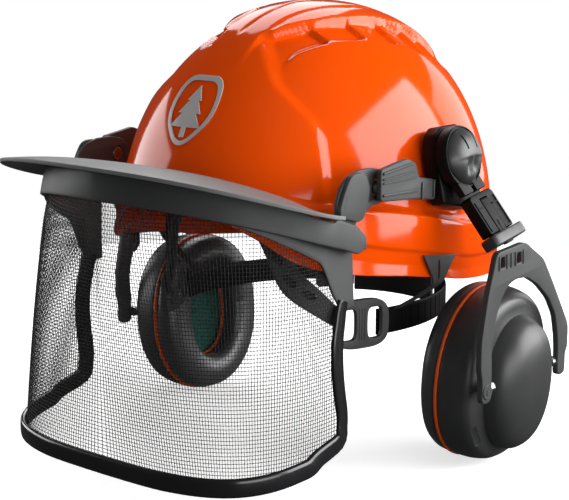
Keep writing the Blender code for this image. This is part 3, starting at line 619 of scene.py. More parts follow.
def wires(lines, thickness):
    """Thin square wires along lines of points, as one mesh."""
    verts, faces = [], []
    for line in lines:
        count = len(line)
        if count < 2:
            continue
        start = len(verts)
        for i, (point, out) in enumerate(line):
            before, after = line[max(0, i - 1)][0], line[min(count - 1, i + 1)][0]
            tangent = (after - before).normalized()
            side = tangent.cross(out).normalized() * thickness / 2
            rise = out.normalized() * thickness / 2
            verts += [point + side + rise, point - side + rise, point - side - rise, point + side - rise]
        for i in range(count - 1):
            a = start + 4 * i
            for k in range(4):
                faces.append((a + k, a + (k + 1) % 4, a + 4 + (k + 1) % 4, a + 4 + k))
        faces += [(start + 3, start + 2, start + 1, start), tuple(start + 4 * (count - 1) + k for k in range(4))]
    mesh = bpy.data.meshes.new("wires")
    mesh.from_pydata([tuple(v) for v in verts], [], faces)
    mesh.update()
    return mesh


def make_screen():
    """The woven screen: upright wires passing over and under level ones."""
    fine = [0.25 * i for i in range(int(180 / 0.25) + 1)]
    arc = [0.0]
    for a, b in zip(fine, fine[1:]):
        arc.append(arc[-1] + (visor_surface(b, -30.0) - visor_surface(a, -30.0)).length)
    stations = [float(np.interp(arc[-1] * i / WIRE_COUNT, arc, fine)) for i in range(WIRE_COUNT + 1)]
    levels = [-101.0 + 2.1 * i for i in range(76)]
    sides = {z: side_degrees(z) for z in levels}

    def facing(degrees, z):
        a, b = visor_surface(degrees - 0.6, z), visor_surface(degrees + 0.6, z)
        flat = b - a
        return Vector((flat.y, -flat.x, 0.0)).normalized()

    def present(degrees, z):
        return mesh_bottom(degrees) - 1.0 < z < mesh_top(degrees) + 4.0 and sides[z] - 1.0 < degrees < 181.0 - sides[z]

    lines = []

    def thread(path, first, side):
        """One wire along a path, crossing the others to one side and the other in turn."""
        run = []
        for k, (degrees, z) in enumerate(path, first):
            if present(degrees, z):
                out = facing(degrees, z)
                run.append((visor_surface(degrees, z) + out * (side if k % 2 else -side), out))
            elif run:
                lines.append(run)
                run = []
        lines.append(run)

    for i, degrees in enumerate(stations):
        thread([(degrees, z) for z in levels], i, WIRE_WAVE)
    for j, z in enumerate(levels):
        thread([(degrees, z) for degrees in stations], j, -WIRE_WAVE)
    piece("screen_wire", wires(lines, WIRE_THICK), WIRE, "visor", ["visor_mesh"], "mesh_black", sharp=0)


def trim_ring(point, across, away, half):
    """The cross section of the moulded edge: a soft-cornered bead."""
    shape = [(-1.0, -1.0), (-1.03, -0.2), (-0.98, 0.45), (-0.82, 0.86), (-0.55, 1.0), (0.0, 1.05), (0.55, 1.0),
             (0.82, 0.86), (0.98, 0.45), (1.03, -0.2), (1.0, -1.0)]
    return [point + across * half * a + away * (2.5 + 1.35 * n) for a, n in shape]


def smooth_path(points, count):
    """Catmull-Rom points through a path."""
    out = []
    for i in range(len(points) - 1):
        p = [points[max(0, i - 1)], points[i], points[i + 1], points[min(len(points) - 1, i + 2)]]
        for k in range(count):
            t = k / count
            out.append(0.5 * ((2 * p[1]) + (p[2] - p[0]) * t + (2 * p[0] - 5 * p[1] + 4 * p[2] - p[3]) * t * t
                              + (3 * p[1] - p[0] - 3 * p[2] + p[3]) * t**3))
    out.append(points[-1])
    return out


def make_trim():
    path = [(side_degrees(z), z) for z in (-6.5, -12.0, -19.0, -28.0, -40.0, -52.0, -62.0, -71.0, -79.0, -86.0)]
    path.append((5.5, -91.0))
    path += [(d, mesh_bottom(d)) for d in (9, 14, 20, 28, 37, 47, 58, 70, 80)]
    left = [visor_surface(*p) for p in path]
    points = left + [visor_surface(90.0, mesh_bottom(90.0))] + [Vector((-p.x, p.y, p.z)) for p in reversed(left)]
    points = smooth_path(points, 4)
    rings = []
    for index, point in enumerate(points):
        before, after = points[max(0, index - 1)], points[min(len(points) - 1, index + 1)]
        tangent = (after - before).normalized()
        away = Vector((point.x / 114.0**2, (point.y + 112.0) / 78.0**2, 0.0)).normalized()
        away = (away - away.project(tangent)).normalized()
        rings.append(trim_ring(point, tangent.cross(away), away, 5.25))
    piece("visor_edge", bevelled(loft(rings), 0.35, 2, 60.0), GLOSS, "visor", ["visor_trim"], "rim_rubber", sharp=50)


def make_peak():
    def across(degrees, v):
        outer, inner = rim_curve(PEAK_OUTER, degrees), rim_curve(PEAK_INNER, degrees)
        point = outer.lerp(inner, v)
        point.z += 1.6 * math.sin(math.pi * v) * inner_sine(degrees)
        return point

    def open_place(u, v):
        return across(-1.0 + 182.0 * u, v)

    def place(u, v):
        return across(min(180.0, max(0.0, -1.0 + 182.0 * u)), v)

    coarse = sheet(32, 4, open_place, 2.2, even=True)
    underside = BVHTree.FromPolygons([v.co for v in coarse.vertices], [tuple(f.vertices) for f in coarse.polygons])
    smooth = sheet(150, 14, place, 2.2, edge=0.8, segments=3)
    piece("peak_skin", smooth, PEAK_PAINTED_LIT, "visor", ["peak"], "grey_plastic", sharp=55)

    def under_peak(degrees, out):
        high = band_top(degrees)
        for _ in range(3):
            point = visor_surface(degrees, high, out)
            hit = underside.ray_cast(Vector((point.x, point.y, -200.0)), Vector((0.0, 0.0, 1.0)))[0]
            if hit is None:
                return band_top(degrees)
            high = min(band_top(degrees), hit.z - 0.9)
        return high

    def band_place(u, v):
        degrees = -16.5 + 213.0 * u
        end = step(min(u, 1 - u), 0.0, 0.035)
        high = min(under_peak(degrees, 3.0), under_peak(degrees, 8.2)) - 3.5 * (1 - end)
        low = band_top(degrees) - 16.0 + 4.5 * (1 - end)
        from_end = min(degrees, 180.0 - degrees)
        out = 3.9 + 4.2 * (1 - step(from_end, 6.0, 34.0))
        out += 0.35 * math.sin(math.pi * v)
        return visor_surface(degrees, low + (high - low) * v, out)

    band = sheet(170, 8, band_place, 2.2, edge=0.7, segments=3)
    piece("visor_band_skin", band, DARK, "visor", ["visor_band"], "grey_plastic", sharp=55)

    def web_place(u, v):
        degrees = -13.0 + 206.0 * u
        from_end = min(degrees, 180.0 - degrees)
        low = mesh_top(degrees) - 1.5 - 23.0 * (1 - step(from_end, -4.0, 8.0))
        high = band_top(degrees) - 3.0
        return visor_surface(degrees, low + (high - low) * v, 1.6)

    web = sheet(150, 8, web_place, 1.6, edge=0.4, segments=2)
    piece("visor_frame_skin", web, DARK, "visor", ["visor_frame"], "grey_plastic", sharp=55)


def make_levers():
    hole = [(PIVOT.y + 4.6 * math.cos(a), PIVOT.z + 4.6 * math.sin(a)) for a in circle(36)]
    eye = [(PIVOT.y + 10.0 * math.cos(a), PIVOT.z + 10.0 * math.sin(a)) for a in circle(28, -1.9, 1.4)]
    front = [(-77.0, 65.5), (-88.6, 65.5), (-99.0, 63.0), (-105.0, 57.5), (-108.5, 50.0), (-109.0, 31.0), (-95.0, 30.0),
             (-90.0, 37.5), (-78.0, 43.0)]
    lever = plate([*eye, *front], 2.2, upright(102.3), holes=[hole], bevel=0.4)
    pair("visor_lever_skin", lever, DARK, "visor", ["visor_lever"], "grey_plastic")
    outline = rounded([(-111.0, 42.6), (-104.8, 56.0), (-99.0, 64.8), (-86.0, 64.8), (-81.6, 55.0), (-83.0, 49.0),
                       (-88.0, 36.2)], 9.0, 8)
    rib = rounded([(-109.3, 43.2), (-103.8, 55.5), (-98.6, 63.2), (-97.0, 63.6), (-103.6, 51.0),
                   (-107.0, 42.0)], 1.2, 3)
    raised = plate(rib, 0.9, upright(106.0), bevel=0.25, resolution=1)
    tab = joined([plate(outline, 2.6, upright(105.0), bevel=0.7, resolution=3), raised])
    pair("visor_tab_skin", tab, DARK, "visor", ["visor_tab"], "grey_plastic")


def make_brackets():
    wedge = rounded([(-77.5, 47.0), (-77.5, 65.0), (-51.5, 68.5), (-43.5, 65.0), (-40.5, 56.5), (-23.6, 53.2),
                     (-23.6, 41.0), (-41.0, 44.0), (-60.0, 45.5)], 2.4, 4)
    parts = [plate(wedge, 3.6, upright(108.6), bevel=0.8, resolution=3)]
    for (y0, z0), (y1, z1), width in (((-76.0, 62.6), (-47.0, 65.3), 1.5), ((-76.0, 59.4), (-45.6, 60.4), 1.0),
                                      ((-76.0, 57.2), (-44.4, 57.0), 1.0), ((-76.0, 50.4), (-42.5, 49.2), 1.4)):
        middle, run = Vector((110.6, (y0 + y1) / 2, (z0 + z1) / 2)), Vector((0.0, y1 - y0, z1 - z0))
        parts.append(box((run.length, width, 1.8), frame_matrix(middle, run, (1, 0, 0)), 0.3, 2))
    for y in (-37.6, -26.0):
        parts.append(box((1.3, 10.2, 1.8), frame_matrix((110.5, y, 48.2), (0, 1, -0.05), (1, 0, 0)), 0.3, 2))
    pair("visor_bracket_skin", joined(parts), DARK, "helmet", ["visor_bracket"], "grey_plastic")


make_screen()
make_trim()
make_peak()
make_levers()
make_brackets()


# ---------------------------------------------------------------- harness


BAND_HALF_WIDTH, BAND_HALF_LENGTH = 80.0, 101.0
FRONT_BAND_SPREAD = 56.0


def band_point(angle, z, out=0.0):
    x, y = (BAND_HALF_WIDTH + out) * math.cos(angle), (BAND_HALF_LENGTH + out) * math.sin(angle) - 2.0
    return Vector((x, y, z))


def band_outward(angle):
    return Vector((math.cos(angle), 0.8 * math.sin(angle), 0.0))


def band_strip(start, end, columns, middle, half_height, thickness, out=0.0, rows=6, edge=0.4):
    def place(u, v):
        angle = math.radians(start + (end - start) * u)
        return band_point(angle, middle(u) + (2 * v - 1) * half_height(u), out)

    return sheet(columns, rows, place, thickness, edge)


FRONT_BAND_TOPS = ((0, 56.0), (20, 52.0), (30, 38.0), (36, 16.0), (42, -2.0), (49, -12.0), (56, -24.0))
FRONT_BAND_FEET = ((0, 37.0), (15, 32.0), (22, 25.0), (27, 15.0), (30, 2.0), (33, -10.0), (38, -18.0), (56, -37.0))


def make_harness():
    def edges(away):
        return softly_along(FRONT_BAND_FEET, away, 2.0), softly_along(FRONT_BAND_TOPS, away, 2.0)

    def front_middle(u):
        return sum(edges(FRONT_BAND_SPREAD * abs(2 * u - 1))) / 2

    def front_half(u):
        foot, top = edges(FRONT_BAND_SPREAD * abs(2 * u - 1))
        return (top - foot) / 2

    front = band_strip(-146, -34, 110, front_middle, front_half, 2.2, rows=10)
    holes = []
    for away, height, long, tilt in ((32.0, 9.0, 6.5, -1.1), (37.5, -6.0, 5.0, -0.9), (45.0, -15.0, 5.0, -0.5)):
        for side in (-1, 1):
            angle = math.radians(-90 + side * away)
            slope = Vector((-math.sin(angle) * side, math.cos(angle) * side, tilt))
            placement = frame_matrix(band_point(angle, height), slope, band_outward(angle))
            holes.append(plate(oval(long, 2.4, 24, 2.6), 12.0, placement))
    piece("headband_front_skin", cut(front, *holes), DARK, "helmet", ["headband_front"], "grey_plastic")

    def pad(u, v):
        foot, top = edges(48.0 * abs(2 * u - 1))
        return math.radians(-138 + 96 * u), foot + 0.5 + (top - foot - 1.0) * v

    def pad_ring(u):
        ring = []
        for a in circle(28):
            c, s = math.cos(a), math.sin(a)
            angle, z = pad(u, 0.5 + 0.5 * math.copysign(abs(s) ** 0.75, s))
            thick = 2.0 * min(1.0, 0.3 + 6.0 * min(u, 1 - u)) ** 0.5
            dent = 0.75 + 0.25 * abs(math.sin(math.pi * u * 9)) ** 0.5
            inward = -1.0 if c < 0 else 1.0
            out = -3.8 + inward * thick * abs(c) ** 0.6 * (dent if c < 0 else 0.92)
            ring.append(band_point(angle, z, out))
        return ring

    padding = loft([pad_ring(i / 120) for i in range(121)])
    pads = piece("sweatband_pad", padding, SWEAT, "helmet", ["sweatband"], "cushion_vinyl", sharp=0)

    side = band_strip(-18, 62, 60, lambda u: -36.0 - 4.0 * u, lambda u: 8.0, 1.5, rows=6, edge=0.3)
    ribs = [side]
    for i in range(14):
        angle = math.radians(-14 + 4.6 * i)
        centre = band_point(angle, -36.0 - 4.0 * (math.degrees(angle) + 18) / 80, 0.75)
        ribs.append(box((13.0, 1.6, 0.5), frame_matrix(centre, (0, 0, 1), band_outward(angle)), 0.15, 1))
    pair("headband_side_skin", joined(ribs), BLACK, "helmet", ["headband_side"], "black_plastic")

    nape = band_strip(66, 114, 50, lambda u: -42.0, lambda u: 13.0, 2.2, out=0.6, rows=8, edge=0.7)
    piece("nape_pad_skin", nape, DARK, "helmet", ["nape_pad"], "grey_plastic")


def make_buckles():
    angle = math.radians(-26)
    placement = frame_matrix(band_point(angle, -34.0, 4.2), (0.0, 0.0, 1.0), band_outward(angle))
    slots = [[(y, z + shift) for y, z in oval(9.5, 5.0, 32, 4.0)] for shift in (-9.0, 9.0)]
    parts = [plate(oval(15.0, 19.0, 56, power=3.2), 3.6, placement, holes=slots, bevel=0.6, resolution=3)]
    for shift in (-1.9, 0.0, 1.9):
        parts.append(box((19.0, 0.9, 0.8), placement @ Matrix.Translation((0.0, shift, 1.7)), 0.2, 1))
    pair("buckle_skin", joined(parts), DARK, "helmet", ["buckle"], "grey_plastic")


# The side hanger's run, from the headband up: share of its length, distance from the middle, height, half width.
HANGER_RUN = (
    (0.0, 83.2, -29.0, 3.6), (0.3, 98.0, -19.5, 3.4), (0.48, 107.5, -12.6, 3.6), (0.56, 111.4, -9.4, 4.2),
    (0.64, 112.3, -4.8, 6.4), (0.8, 112.3, 2.0, 10.4), (1.0, 111.9, 9.0, 14.8),
)


def hanger_place(u, v):
    reach, z, half = (softly_along([(row[0], row[k]) for row in HANGER_RUN], u, 0.03) for k in (1, 2, 3))
    y = -20.5 + 2.4 * u + (2 * v - 1) * half
    tilt = -1.2 - 0.13 * (2 * v - 1) * half
    return Vector((reach * math.sqrt(1 - (y / 139.0) ** 2), y, z + tilt * step(u, 0.6, 1.0)))


def make_hangers():
    blade = sheet(60, 12, hanger_place, 1.2, 0.3)
    slot = plate(oval(6.0, 0.9, 24, 3.0), 14.0, frame_matrix((111.0, -20.0, -1.0), (0, 0, 1), (1, 0, 0)))
    pair("hanger_skin", cut(blade, slot), DARK, "helmet", ["hanger"], "grey_plastic")


def make_crown():
    def strap(direction, apex, half_width, foot_z, brow_z):
        c, s = math.cos(direction), math.sin(direction)
        reach = 1 / math.sqrt((c / 84.0) ** 2 + (s / 108.5) ** 2)

        def place(u, v):
            angle = math.pi * u
            run = reach * math.cos(angle)
            foot = foot_z + (brow_z - foot_z) * u
            z = foot + (apex - foot) * max(0.0, math.sin(angle)) ** 0.8
            side = (2 * v - 1) * half_width
            return Vector((run * c - side * s, run * s + side * c, z))

        return sheet(72, 6, place, 1.2, 0.3)

    for name, degrees, apex, brow in (("long", 90, 118.0, 50.0), ("cross_a", 28, 115.5, 6.0),
                                      ("cross_b", 152, 113.0, 6.0)):
        tape = strap(math.radians(degrees), apex, 9.0, 6.0, brow)
        piece(f"crown_strap_{name}_tape", tape, WEBBING, "helmet", [f"crown_strap_{name}"], "webbing")


make_harness()
make_buckles()
make_hangers()
make_crown()


# ---------------------------------------------------------------- ear-muff arms

SIDE_NORMAL = Vector((0.976, 0.0, 0.218)).normalized()
HUB = Vector((112.6, -8.0, 64.0))
HINGE = Vector((125.8, -4.6, 42.0))
ARM_LINE = Vector((0.58, 0.12, -0.806)).normalized()
ARM_WIDTH, ARM_LENGTH, ARM_THICK = 26.6, 24.7, 7.6


def side_frame(origin):
    return frame_matrix(origin, (0, 1, 0), SIDE_NORMAL)


def arm_frame(distance=0.0, out=0.0):
    across = (Vector((0, 1, 0)) - Vector((0, 1, 0)).project(ARM_LINE)).normalized()
    return frame_matrix(HINGE, across, across.cross(-ARM_LINE)) @ Matrix.Translation((0.0, -distance, out))


def make_adapters():
    origin = Vector((101.7, 0.0, 58.5)) + SIDE_NORMAL * 5.0
    outline = rounded([(-23.0, -22.0), (-23.0, 6.0), (-20.0, 18.0), (-13.0, 22.5), (3.0, 22.5), (10.0, 17.0),
                       (15.5, -2.0), (18.0, -31.0), (-4.0, -26.5)], 2.2, 5)
    body = plate(outline, 10.0, side_frame(origin), bevel=1.2, resolution=3)
    pair("adapter_skin", body, BLACK, "helmet", ["adapter"], "black_plastic")


def hub_cap_point(share, angle):
    """A point of the cap's relief: a dome pointed at the foot, with two lobes sunk in it and a crest above them."""
    c, s = math.cos(angle), math.sin(angle)
    radius = 16.8 * share * (1.0 - 0.27 * max(0.0, -s) ** 1.6 * abs(c) ** 0.9)
    x, y = radius * c, radius * s
    height = 7.4 * (1 - share**2.6) ** 0.75
    lobes = sum(math.exp(-(((x - lobe) / 2.3) ** 2)) for lobe in (-2.9, 2.9))
    dimple = 3.1 * lobes * math.exp(-(((y + 5.6) / 4.6) ** 2)) * (1 - share**6)
    crest = 0.5 * step(y, -1.5, 0.5) * (1 - share**4)
    return x, y, max(0.0, height - dimple + crest)


def make_hubs():
    placement = side_frame(HUB)
    disc = turned([(0.0, 6.2), (17.0, 6.2), (17.3, 7.0), (17.8, 7.0), (18.2, 6.2), (18.5, 5.2), (18.5, 0.0),
                   (0.0, 0.0)], 72, placement)
    legs = [box((10.8, 16.0, 5.0), arm_frame(-10.9) @ Matrix.Translation((x, 0.0, 0.0)), 0.7, 2) for x in (-7.2, 7.2)]
    pair("hub_disc", joined([disc, *legs]), BLACK, "hub", ["hub"], "black_plastic")
    shares = (1.0, 0.985, 0.95, 0.9, 0.82, 0.72, 0.6, 0.48, 0.36, 0.24, 0.12)
    rings = [[hub_cap_point(share, angle) for angle in circle(72)] for share in shares]
    base = [(x, y, 0.0) for x, y, _ in rings[0]]
    shape = loft([base, *rings, [(0.0, 0.0, 7.5)]])
    slots = [box((1.3, 8.6, 6.6), Matrix.Translation((x, 8.8, 6.4)) @ Matrix.Rotation(-0.02 * x, 4, "Z"), 0.3, 1)
             for x in (-4.8, 4.8)]
    shape = cut(shape, *slots)
    shape.transform(placement @ Matrix.Translation((0.0, -0.5, 6.6)))
    pair("hub_dome", shape, SATIN_PAINTED_HIGHLIGHT, "hub", ["hub_cap"], "black_plastic", sharp=50)


def make_arms():
    half = ARM_WIDTH / 2
    outline = rounded([(-half, -ARM_LENGTH), (half, -ARM_LENGTH), (half, -1.0), (half - 2.0, 1.0), (-half + 2.0, 1.0),
                       (-half, -1.0)], 1.2, 3)
    body = plate(outline, ARM_THICK, arm_frame(), bevel=0.7, resolution=2)
    parts = [cut(body, box((8.9, ARM_LENGTH, 4.6), arm_frame(ARM_LENGTH / 2 + 2.5, ARM_THICK / 2 - 1.0)))]
    for width, length, distance, reach in ((0.9, ARM_LENGTH - 5.0, ARM_LENGTH / 2 + 1.0, 11.2), (6.0, 1.0, 8.0, 8.0)):
        for x in (-reach, reach):
            placement = arm_frame(distance, ARM_THICK / 2) @ Matrix.Translation((x, 0.0, 0.0))
            parts.append(box((width, length, 1.2), placement, 0.2, 1))
    pair("arm_skin", joined(parts), BLACK, "arm", ["arm"], "black_plastic")
    ring = [(x, y + 1.3) for x, y in oval(18.0, 6.9, 64, power=4.5)]
    window = [(-4.6, 0.3), (4.6, 0.3), (4.6, 4.6), (-4.6, 4.6)]
    placement = arm_frame(ARM_LENGTH + 3.9) @ Matrix.Rotation(math.pi / 2, 4, "X")
    clamp = plate(ring, 6.8, placement, holes=[window], bevel=1.1, resolution=3)
    pair("clamp_skin", clamp, SATIN_PAINTED_HIGHLIGHT, "arm", ["clamp"], "grey_plastic")


def make_forks():
    outline = rounded([
        (-16.0, 13.2), (-19.0, 4.0), (-24.0, -9.5), (-28.0, -26.0), (-30.5, -38.0), (-30.5, -54.0), (-28.5, -61.0),
        (-28.5, -75.0), (-18.5, -75.0), (-18.5, -58.0), (-19.5, -40.0), (-15.5, -25.0), (-10.0, -15.0), (-3.0, -8.0),
        (6.0, -5.8), (18.0, -7.0), (31.5, -14.0), (45.0, -25.0), (53.5, -37.0), (57.5, -52.0), (58.5, -62.0),
        (58.5, -77.0), (67.5, -77.0), (67.5, -64.0), (70.0, -60.0), (70.0, -46.0), (62.0, -34.0), (49.0, -15.0),
        (37.0, 1.5), (26.0, 8.0), (15.0, 14.8)], 4.0, 5)
    slots = [rounded([(x - 3.0, 3.4), (x + 3.0, 3.4), (x + 2.2, 9.6), (x - 2.2, 9.6)], 1.0, 3) for x in (-10.0, 8.0)]
    placement = upright(147.0)
    parts = [plate(outline, 4.0, placement, holes=slots, bevel=0.7, resolution=3)]
    for x in (-14.2, -5.8, -1.2, 3.6, 12.4):
        parts.append(box((1.1, 8.5, 1.4), placement @ Matrix.Translation((x, 6.6, 2.0)), 0.3, 2))
    for height, steps, profile in ((1.6, 36, [(0.0, 1.2), (4.2, 1.2), (4.6, 0.8), (4.6, -1.0), (0.0, -1.0)]),
                                   (1.7, 24, [(0.0, 1.5), (1.8, 1.5), (2.0, 1.2), (2.0, 0.0), (0.0, 0.0)])):
        parts.append(turned(profile, steps, placement @ Matrix.Translation((-23.5, -68.0, height))))
    pair("fork_skin", joined(parts), DARK, "fork", ["fork"], "grey_plastic")
    tongue = [box((8.2, 29.8, 3.4), arm_frame(ARM_LENGTH - 6.6, 2.45), 0.8, 3),
              box((2.2, 9.0, 0.7), arm_frame(ARM_LENGTH - 2.0, 4.1), 0.3, 2)]
    pair("slider_skin", joined(tongue), BLACK, "fork", ["slider"], "black_plastic")


make_adapters()
make_hubs()
make_arms()
make_forks()


# ---------------------------------------------------------------- ear muffs

CUP = Vector((115.5, 20.5, -72.0))
LEAN_PIVOT = Vector((144.6, 0.0, -68.0))
LEAN = Matrix.Translation(LEAN_PIVOT) @ Matrix.Rotation(math.radians(4.0), 4, "Y") @ Matrix.Translation(-LEAN_PIVOT)


def cup_ring(x, half_width, half_height, shift_y=0.0, shift_z=0.0, count=112):
    """A ring of the ear muff before it leans, at a distance x out from its back."""
    outline = oval(half_width, half_height, count, 2.15)
    return [Vector((CUP.x + x, CUP.y + shift_y + y, CUP.z + shift_z + z)) for y, z in outline]


def eased(sections, count):
    """More sections between the given ones, on Catmull-Rom curves through their numbers."""
    arrays = [np.array(s, float) for s in sections]
    return [tuple(s) for s in smooth_path(arrays, count)]


# The cup's sections: place along X, how much narrower and lower than the whole cup, and the shift in Y and Z.
CUP_WIDTH, CUP_HEIGHT = 47.0, 54.0
CUP_BACK = ((16.0, 5.0, 5.0), (1.2, 3.4, 3.4), (0.9, 3.0, 3.0), (0.9, 0.8, 0.8), (1.2, 0.4, 0.4))
CUP_SIDES = (
    (2.2, 0.1, 0.1, 0.0, 0.0), (5.0, 0.0, 0.0, 0.0, 0.0), (10.0, 0.3, 0.3, 0.0, 0.0), (14.0, 1.0, 1.0, 0.0, 0.0),
    (17.5, 2.0, 2.0, 0.0, 0.0), (19.8, 3.4, 3.4, 0.0, 0.0), (21.3, 5.2, 4.8, 0.0, -0.2), (22.2, 8.5, 7.0, 0.1, -0.8),
    (22.6, 12.0, 9.2, 0.4, -1.8),
)
CUP_DOME = (
    (23.2, 16.6, 12.2, 0.8, -2.2), (26.5, 17.2, 12.8, 1.0, -2.6), (30.5, 18.4, 14.2, 1.2, -3.0),
    (33.8, 20.3, 16.5, 1.5, -3.0), (36.4, 23.0, 19.6, 1.7, -3.0), (38.4, 26.4, 23.6, 1.9, -3.0),
    (39.8, 30.6, 28.4, 2.0, -3.0), (40.8, 35.0, 34.0, 2.0, -3.0), (41.4, 39.6, 41.0, 2.0, -3.0),
    (41.7, 43.6, 48.4, 2.0, -3.0),
)
# The flat orange ring between cup and cushion: place along X, half width, half height.
RING_SECTIONS = (
    (-1.1, 47.3, 54.3), (-0.9, 47.5, 54.5), (0.3, 47.5, 54.5), (0.5, 47.3, 54.3), (0.5, 21.2, 30.2), (0.3, 21.0, 30.0),
    (-0.9, 21.0, 30.0), (-1.1, 21.2, 30.2),
)


def inset(rows):
    return [(x, CUP_WIDTH - a, CUP_HEIGHT - b, *shift) for x, a, b, *shift in rows]


def make_cups():
    sections = [*inset(CUP_BACK), *eased(inset(CUP_SIDES), 4), *eased(inset(CUP_DOME), 4)]
    tip = [Vector((CUP.x + 41.8, CUP.y + 2.0, CUP.z - 3.0))]
    cup = loft([*[cup_ring(*section) for section in sections], tip], caps=False)
    cup.transform(LEAN)
    mark = turned([(3.4, 0.0), (3.4, 0.35), (3.7, 0.45), (4.0, 0.35), (4.0, 0.0)], 40, Matrix.Identity(4))
    dot = turned([(0.0, 0.4), (0.7, 0.4), (0.9, 0.0)], 16, Matrix.Identity(4))
    relief = joined([mark, dot])
    relief.transform(LEAN @ upright(CUP.x + 41.3, CUP.y + 2.0, CUP.z - 3.0))
    cup = cut(cup_closed(cup), recess())
    pair("cup_skin", joined([cup, relief]), SATIN_PAINTED_HIGHLIGHT, "cup", ["cup"], "black_plastic", sharp=40)

    ring = loft([cup_ring(*section) for section in RING_SECTIONS], looped=True)
    ring.transform(LEAN)
    pair("cup_ring_skin", ring, RING, "cup", ["cup_ring"], "ring_orange")

    for pad in pair("foam_pad", foam_sheet(), FOAM, "cup", ["foam"], "foam_green", sharp=0):
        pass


def cup_closed(mesh):
    """Closes the open back of the cup, so that cuts can be made in it."""
    bm = bmesh.new()
    bm.from_mesh(mesh)
    edges = [e for e in bm.edges if e.is_boundary]
    bmesh.ops.contextual_create(bm, geom=edges)
    return mesh_from(bm)


def recess():
    """The slot at the lower front of the cup's side."""
    placement = frame_matrix((CUP.x + 23.5, CUP.y - 33.0, CUP.z - 30.0), (0.0, -0.5, 0.86), (1.0, -0.5, -0.25))
    return box((16.0, 5.0, 5.0), LEAN @ placement, 1.0, 2)


def foam_sheet():
    """The foam inside the cup: a flat sheet, a little uneven where it shows."""
    edge = ((9.0, 3.0, 4.0), (9.0, 32.6, 41.6), (8.6, 33.0, 42.0), (2.6, 33.0, 42.0), (2.1, 32.4, 41.4))
    rings = [cup_ring(*section) for section in edge]
    rings += [cup_ring(2.0, 32.0 * s, 41.0 * s) for s in (0.9, 0.8, 0.7, 0.6, 0.5, 0.4, 0.3, 0.2, 0.1)]
    rings.append([Vector((CUP.x + 2.0, CUP.y, CUP.z))])
    mesh = loft(rings)
    for vert in mesh.vertices:
        if vert.co.x < CUP.x + 4.0:
            vert.co.x += 0.9 * noise.noise(Vector(vert.co) * 0.11) + 0.4
    mesh.transform(LEAN)
    return mesh


def make_cushions():
    """The sealing cushions: foam under vinyl round a flat back, fullest at the face, creased at the inner seam."""
    profile = [(-1.6, 45.6, 52.6), (-3.0, 46.3, 53.3), (-5.5, 46.6, 53.6), (-8.6, 46.1, 53.1), (-11.4, 44.7, 51.7),
               (-13.6, 42.2, 49.2), (-15.0, 38.6, 45.6), (-15.6, 34.4, 42.6), (-15.5, 30.2, 39.2), (-14.6, 26.4, 35.4),
               (-12.9, 23.6, 32.6), (-10.4, 22.0, 31.0), (-7.4, 21.6, 30.6), (-4.4, 22.1, 31.1), (-2.6, 22.8, 31.8),
               (-1.6, 24.4, 33.4)]
    sections = eased([*profile, profile[0]], 3)[:-1]
    mesh = loft([cup_ring(*section, count=200) for section in sections], looped=True)
    centre = Vector((CUP.x, CUP.y, CUP.z))
    for vert in mesh.vertices:
        co = Vector(vert.co)
        up, back = (co.z - centre.z) / CUP_HEIGHT, (co.y - centre.y) / CUP_WIDTH
        around, radius = math.atan2(up, back), math.hypot(up, back)
        swell = 0.35 * noise.noise(Vector((math.cos(around) * 2.2, math.sin(around) * 2.2, radius * 2.0)))
        crease = max(0.0, noise.noise(Vector((around * 5.5, radius * 1.5, 3.7)))) ** 2
        inside = step(0.62 - radius, -0.03, 0.08)
        pull = swell - 1.3 * crease * inside - 0.3 * crease
        vert.co.x += -0.5 * pull if co.x < CUP.x - 3.0 else 0.0
        outward = Vector((0.0, co.y - centre.y, co.z - centre.z)).normalized()
        vert.co += outward * (-pull if inside > 0.5 else pull) * 0.5 * step(CUP.x - co.x, 1.6, 5.0)
    mesh.transform(LEAN)
    for cushion in pair("cushion_pad", mesh, VINYL, "cup", ["cushion"], "cushion_vinyl", sharp=0):
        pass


make_cups()
make_cushions()


# ---------------------------------------------------------------- the CAD pieces that show as they are

SIDES = ("_left", "_right")
for names, sides, look, width in (
    (("nape_housing",), ("",), BLACK, 0.6),
    (("nape_knob",), ("",), BLACK, 0.5),
    (("harness_key_front", "harness_key_rear"), SIDES, DARK, 0.3),
    (("visor_pin", "cup_pin_front", "cup_pin_rear"), SIDES, STEEL, 0.2),
):
    for name in (stem + side for stem in names for side in sides):
        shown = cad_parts[name]
        shown.data.materials.clear()
        shown.data.materials.append(look)
        weld = shown.modifiers.new("weld", "WELD")
        weld.merge_threshold = 0.00001
        edge = shown.modifiers.new("edge", "BEVEL")
        edge.width, edge.segments, edge.limit_method, edge.angle_limit = width * MM, 2, "ANGLE", math.radians(40)


# ---------------------------------------------------------------- floor, light and camera


FLOOR_REACH, FLOOR_LEVEL = 0.62, -0.1262


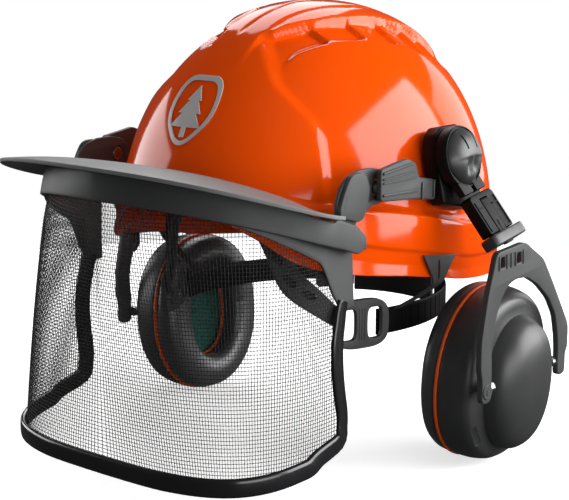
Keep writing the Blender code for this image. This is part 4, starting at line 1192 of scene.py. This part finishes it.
def make_stage():
    floor = bpy.data.meshes.new("floor")
    edge = [(FLOOR_REACH * math.cos(a), FLOOR_REACH * math.sin(a), FLOOR_LEVEL) for a in circle(96)]
    floor.from_pydata(edge, [], [tuple(range(len(edge)))])
    look = bpy.data.materials.new("floor")
    look.use_nodes = True
    shader = look.node_tree.nodes["Principled BSDF"]
    shader.inputs["Base Color"].default_value = (0.93, 0.93, 0.93, 1.0)
    shader.inputs["Roughness"].default_value = 0.9
    shader.inputs["Emission Color"].default_value = (1.0, 1.0, 1.0, 1.0)
    shader.inputs["Emission Strength"].default_value = 0.6
    floor.materials.append(look)
    plane = linked("floor", floor)
    plane.visible_diffuse = False
    plane.visible_glossy = False
    world = bpy.data.worlds.new("studio")
    bpy.context.scene.world = world
    world.use_nodes = True
    tree = world.node_tree
    background = tree.nodes["Background"]
    background.inputs["Color"].default_value = (0.9, 0.92, 0.95, 1.0)
    background.inputs["Strength"].default_value = 0.05
    seen = tree.nodes.new("ShaderNodeBackground")
    seen.inputs["Color"].default_value = (1.0, 1.0, 1.0, 1.0)
    seen.inputs["Strength"].default_value = 1.0
    path = tree.nodes.new("ShaderNodeLightPath")
    mix = tree.nodes.new("ShaderNodeMixShader")
    tree.links.new(path.outputs["Is Camera Ray"], mix.inputs["Fac"])
    tree.links.new(background.outputs["Background"], mix.inputs[1])
    tree.links.new(seen.outputs["Background"], mix.inputs[2])
    tree.links.new(mix.outputs["Shader"], tree.nodes["World Output"].inputs["Surface"])


def direction(azimuth, elevation):
    """The way from the helmet to a light or the camera, turned from its front towards its left, and up."""
    a, e = math.radians(azimuth), math.radians(elevation)
    return Vector((math.sin(a) * math.cos(e), -math.cos(a) * math.cos(e), math.sin(e)))


def softbox(name, azimuth, elevation, width, height, radiance, distance=1.55, mirrored_in_gloss=True):
    """A soft light seen from the helmet in a direction, with its angular width and height in degrees."""
    away = direction(azimuth, elevation)
    data = bpy.data.lights.new(name, "AREA")
    data.shape = "RECTANGLE"
    data.size, data.size_y = (2 * distance * math.tan(math.radians(x / 2)) for x in (width, height))
    data.energy = radiance * math.pi * data.size * data.size_y
    lamp = linked(name, data)
    lamp.location = Vector((0.0, -0.02, 0.06)) + away * distance
    lamp.rotation_mode = "QUATERNION"
    lamp.rotation_quaternion = (-away).to_track_quat("-Z", "Y")
    lamp.visible_camera = False
    lamp.visible_glossy = mirrored_in_gloss


def make_lights():
    softbox("key_left", -75, 10, 48, 26, 4.0)
    softbox("side_right", 124, 17, 54, 44, 6.4)
    softbox("back_right", 172, 8, 30, 28, 2.2)
    softbox("back_left", -136, 38, 30, 40, 3.4)
    softbox("front", 68, 2, 46, 24, 3.6)
    softbox("fill", 76, 54, 60, 50, 0.9, mirrored_in_gloss=False)


# The camera as solved from the photograph, in degrees, metres and millimetres of focal length.
CAMERA_AZIMUTH, CAMERA_ELEVATION = 39.3, 12.0
CAMERA_PLACE = (0.6079, -0.7698, 0.2009)
CAMERA_LENS = 98.7


def make_camera():
    turn = math.radians(CAMERA_AZIMUTH)
    back = direction(CAMERA_AZIMUTH, CAMERA_ELEVATION)
    right = Vector((math.cos(turn), math.sin(turn), 0.0))
    axes = Matrix((right, back.cross(right), back)).transposed().to_4x4()
    data = bpy.data.cameras.new("camera")
    data.sensor_width, data.lens = 36.0, CAMERA_LENS
    camera = linked("camera", data)
    camera.matrix_world = Matrix.Translation(CAMERA_PLACE) @ axes
    bpy.context.scene.camera = camera


make_stage()
make_lights()
make_camera()
bpy.context.scene.view_settings.view_transform = "Standard"
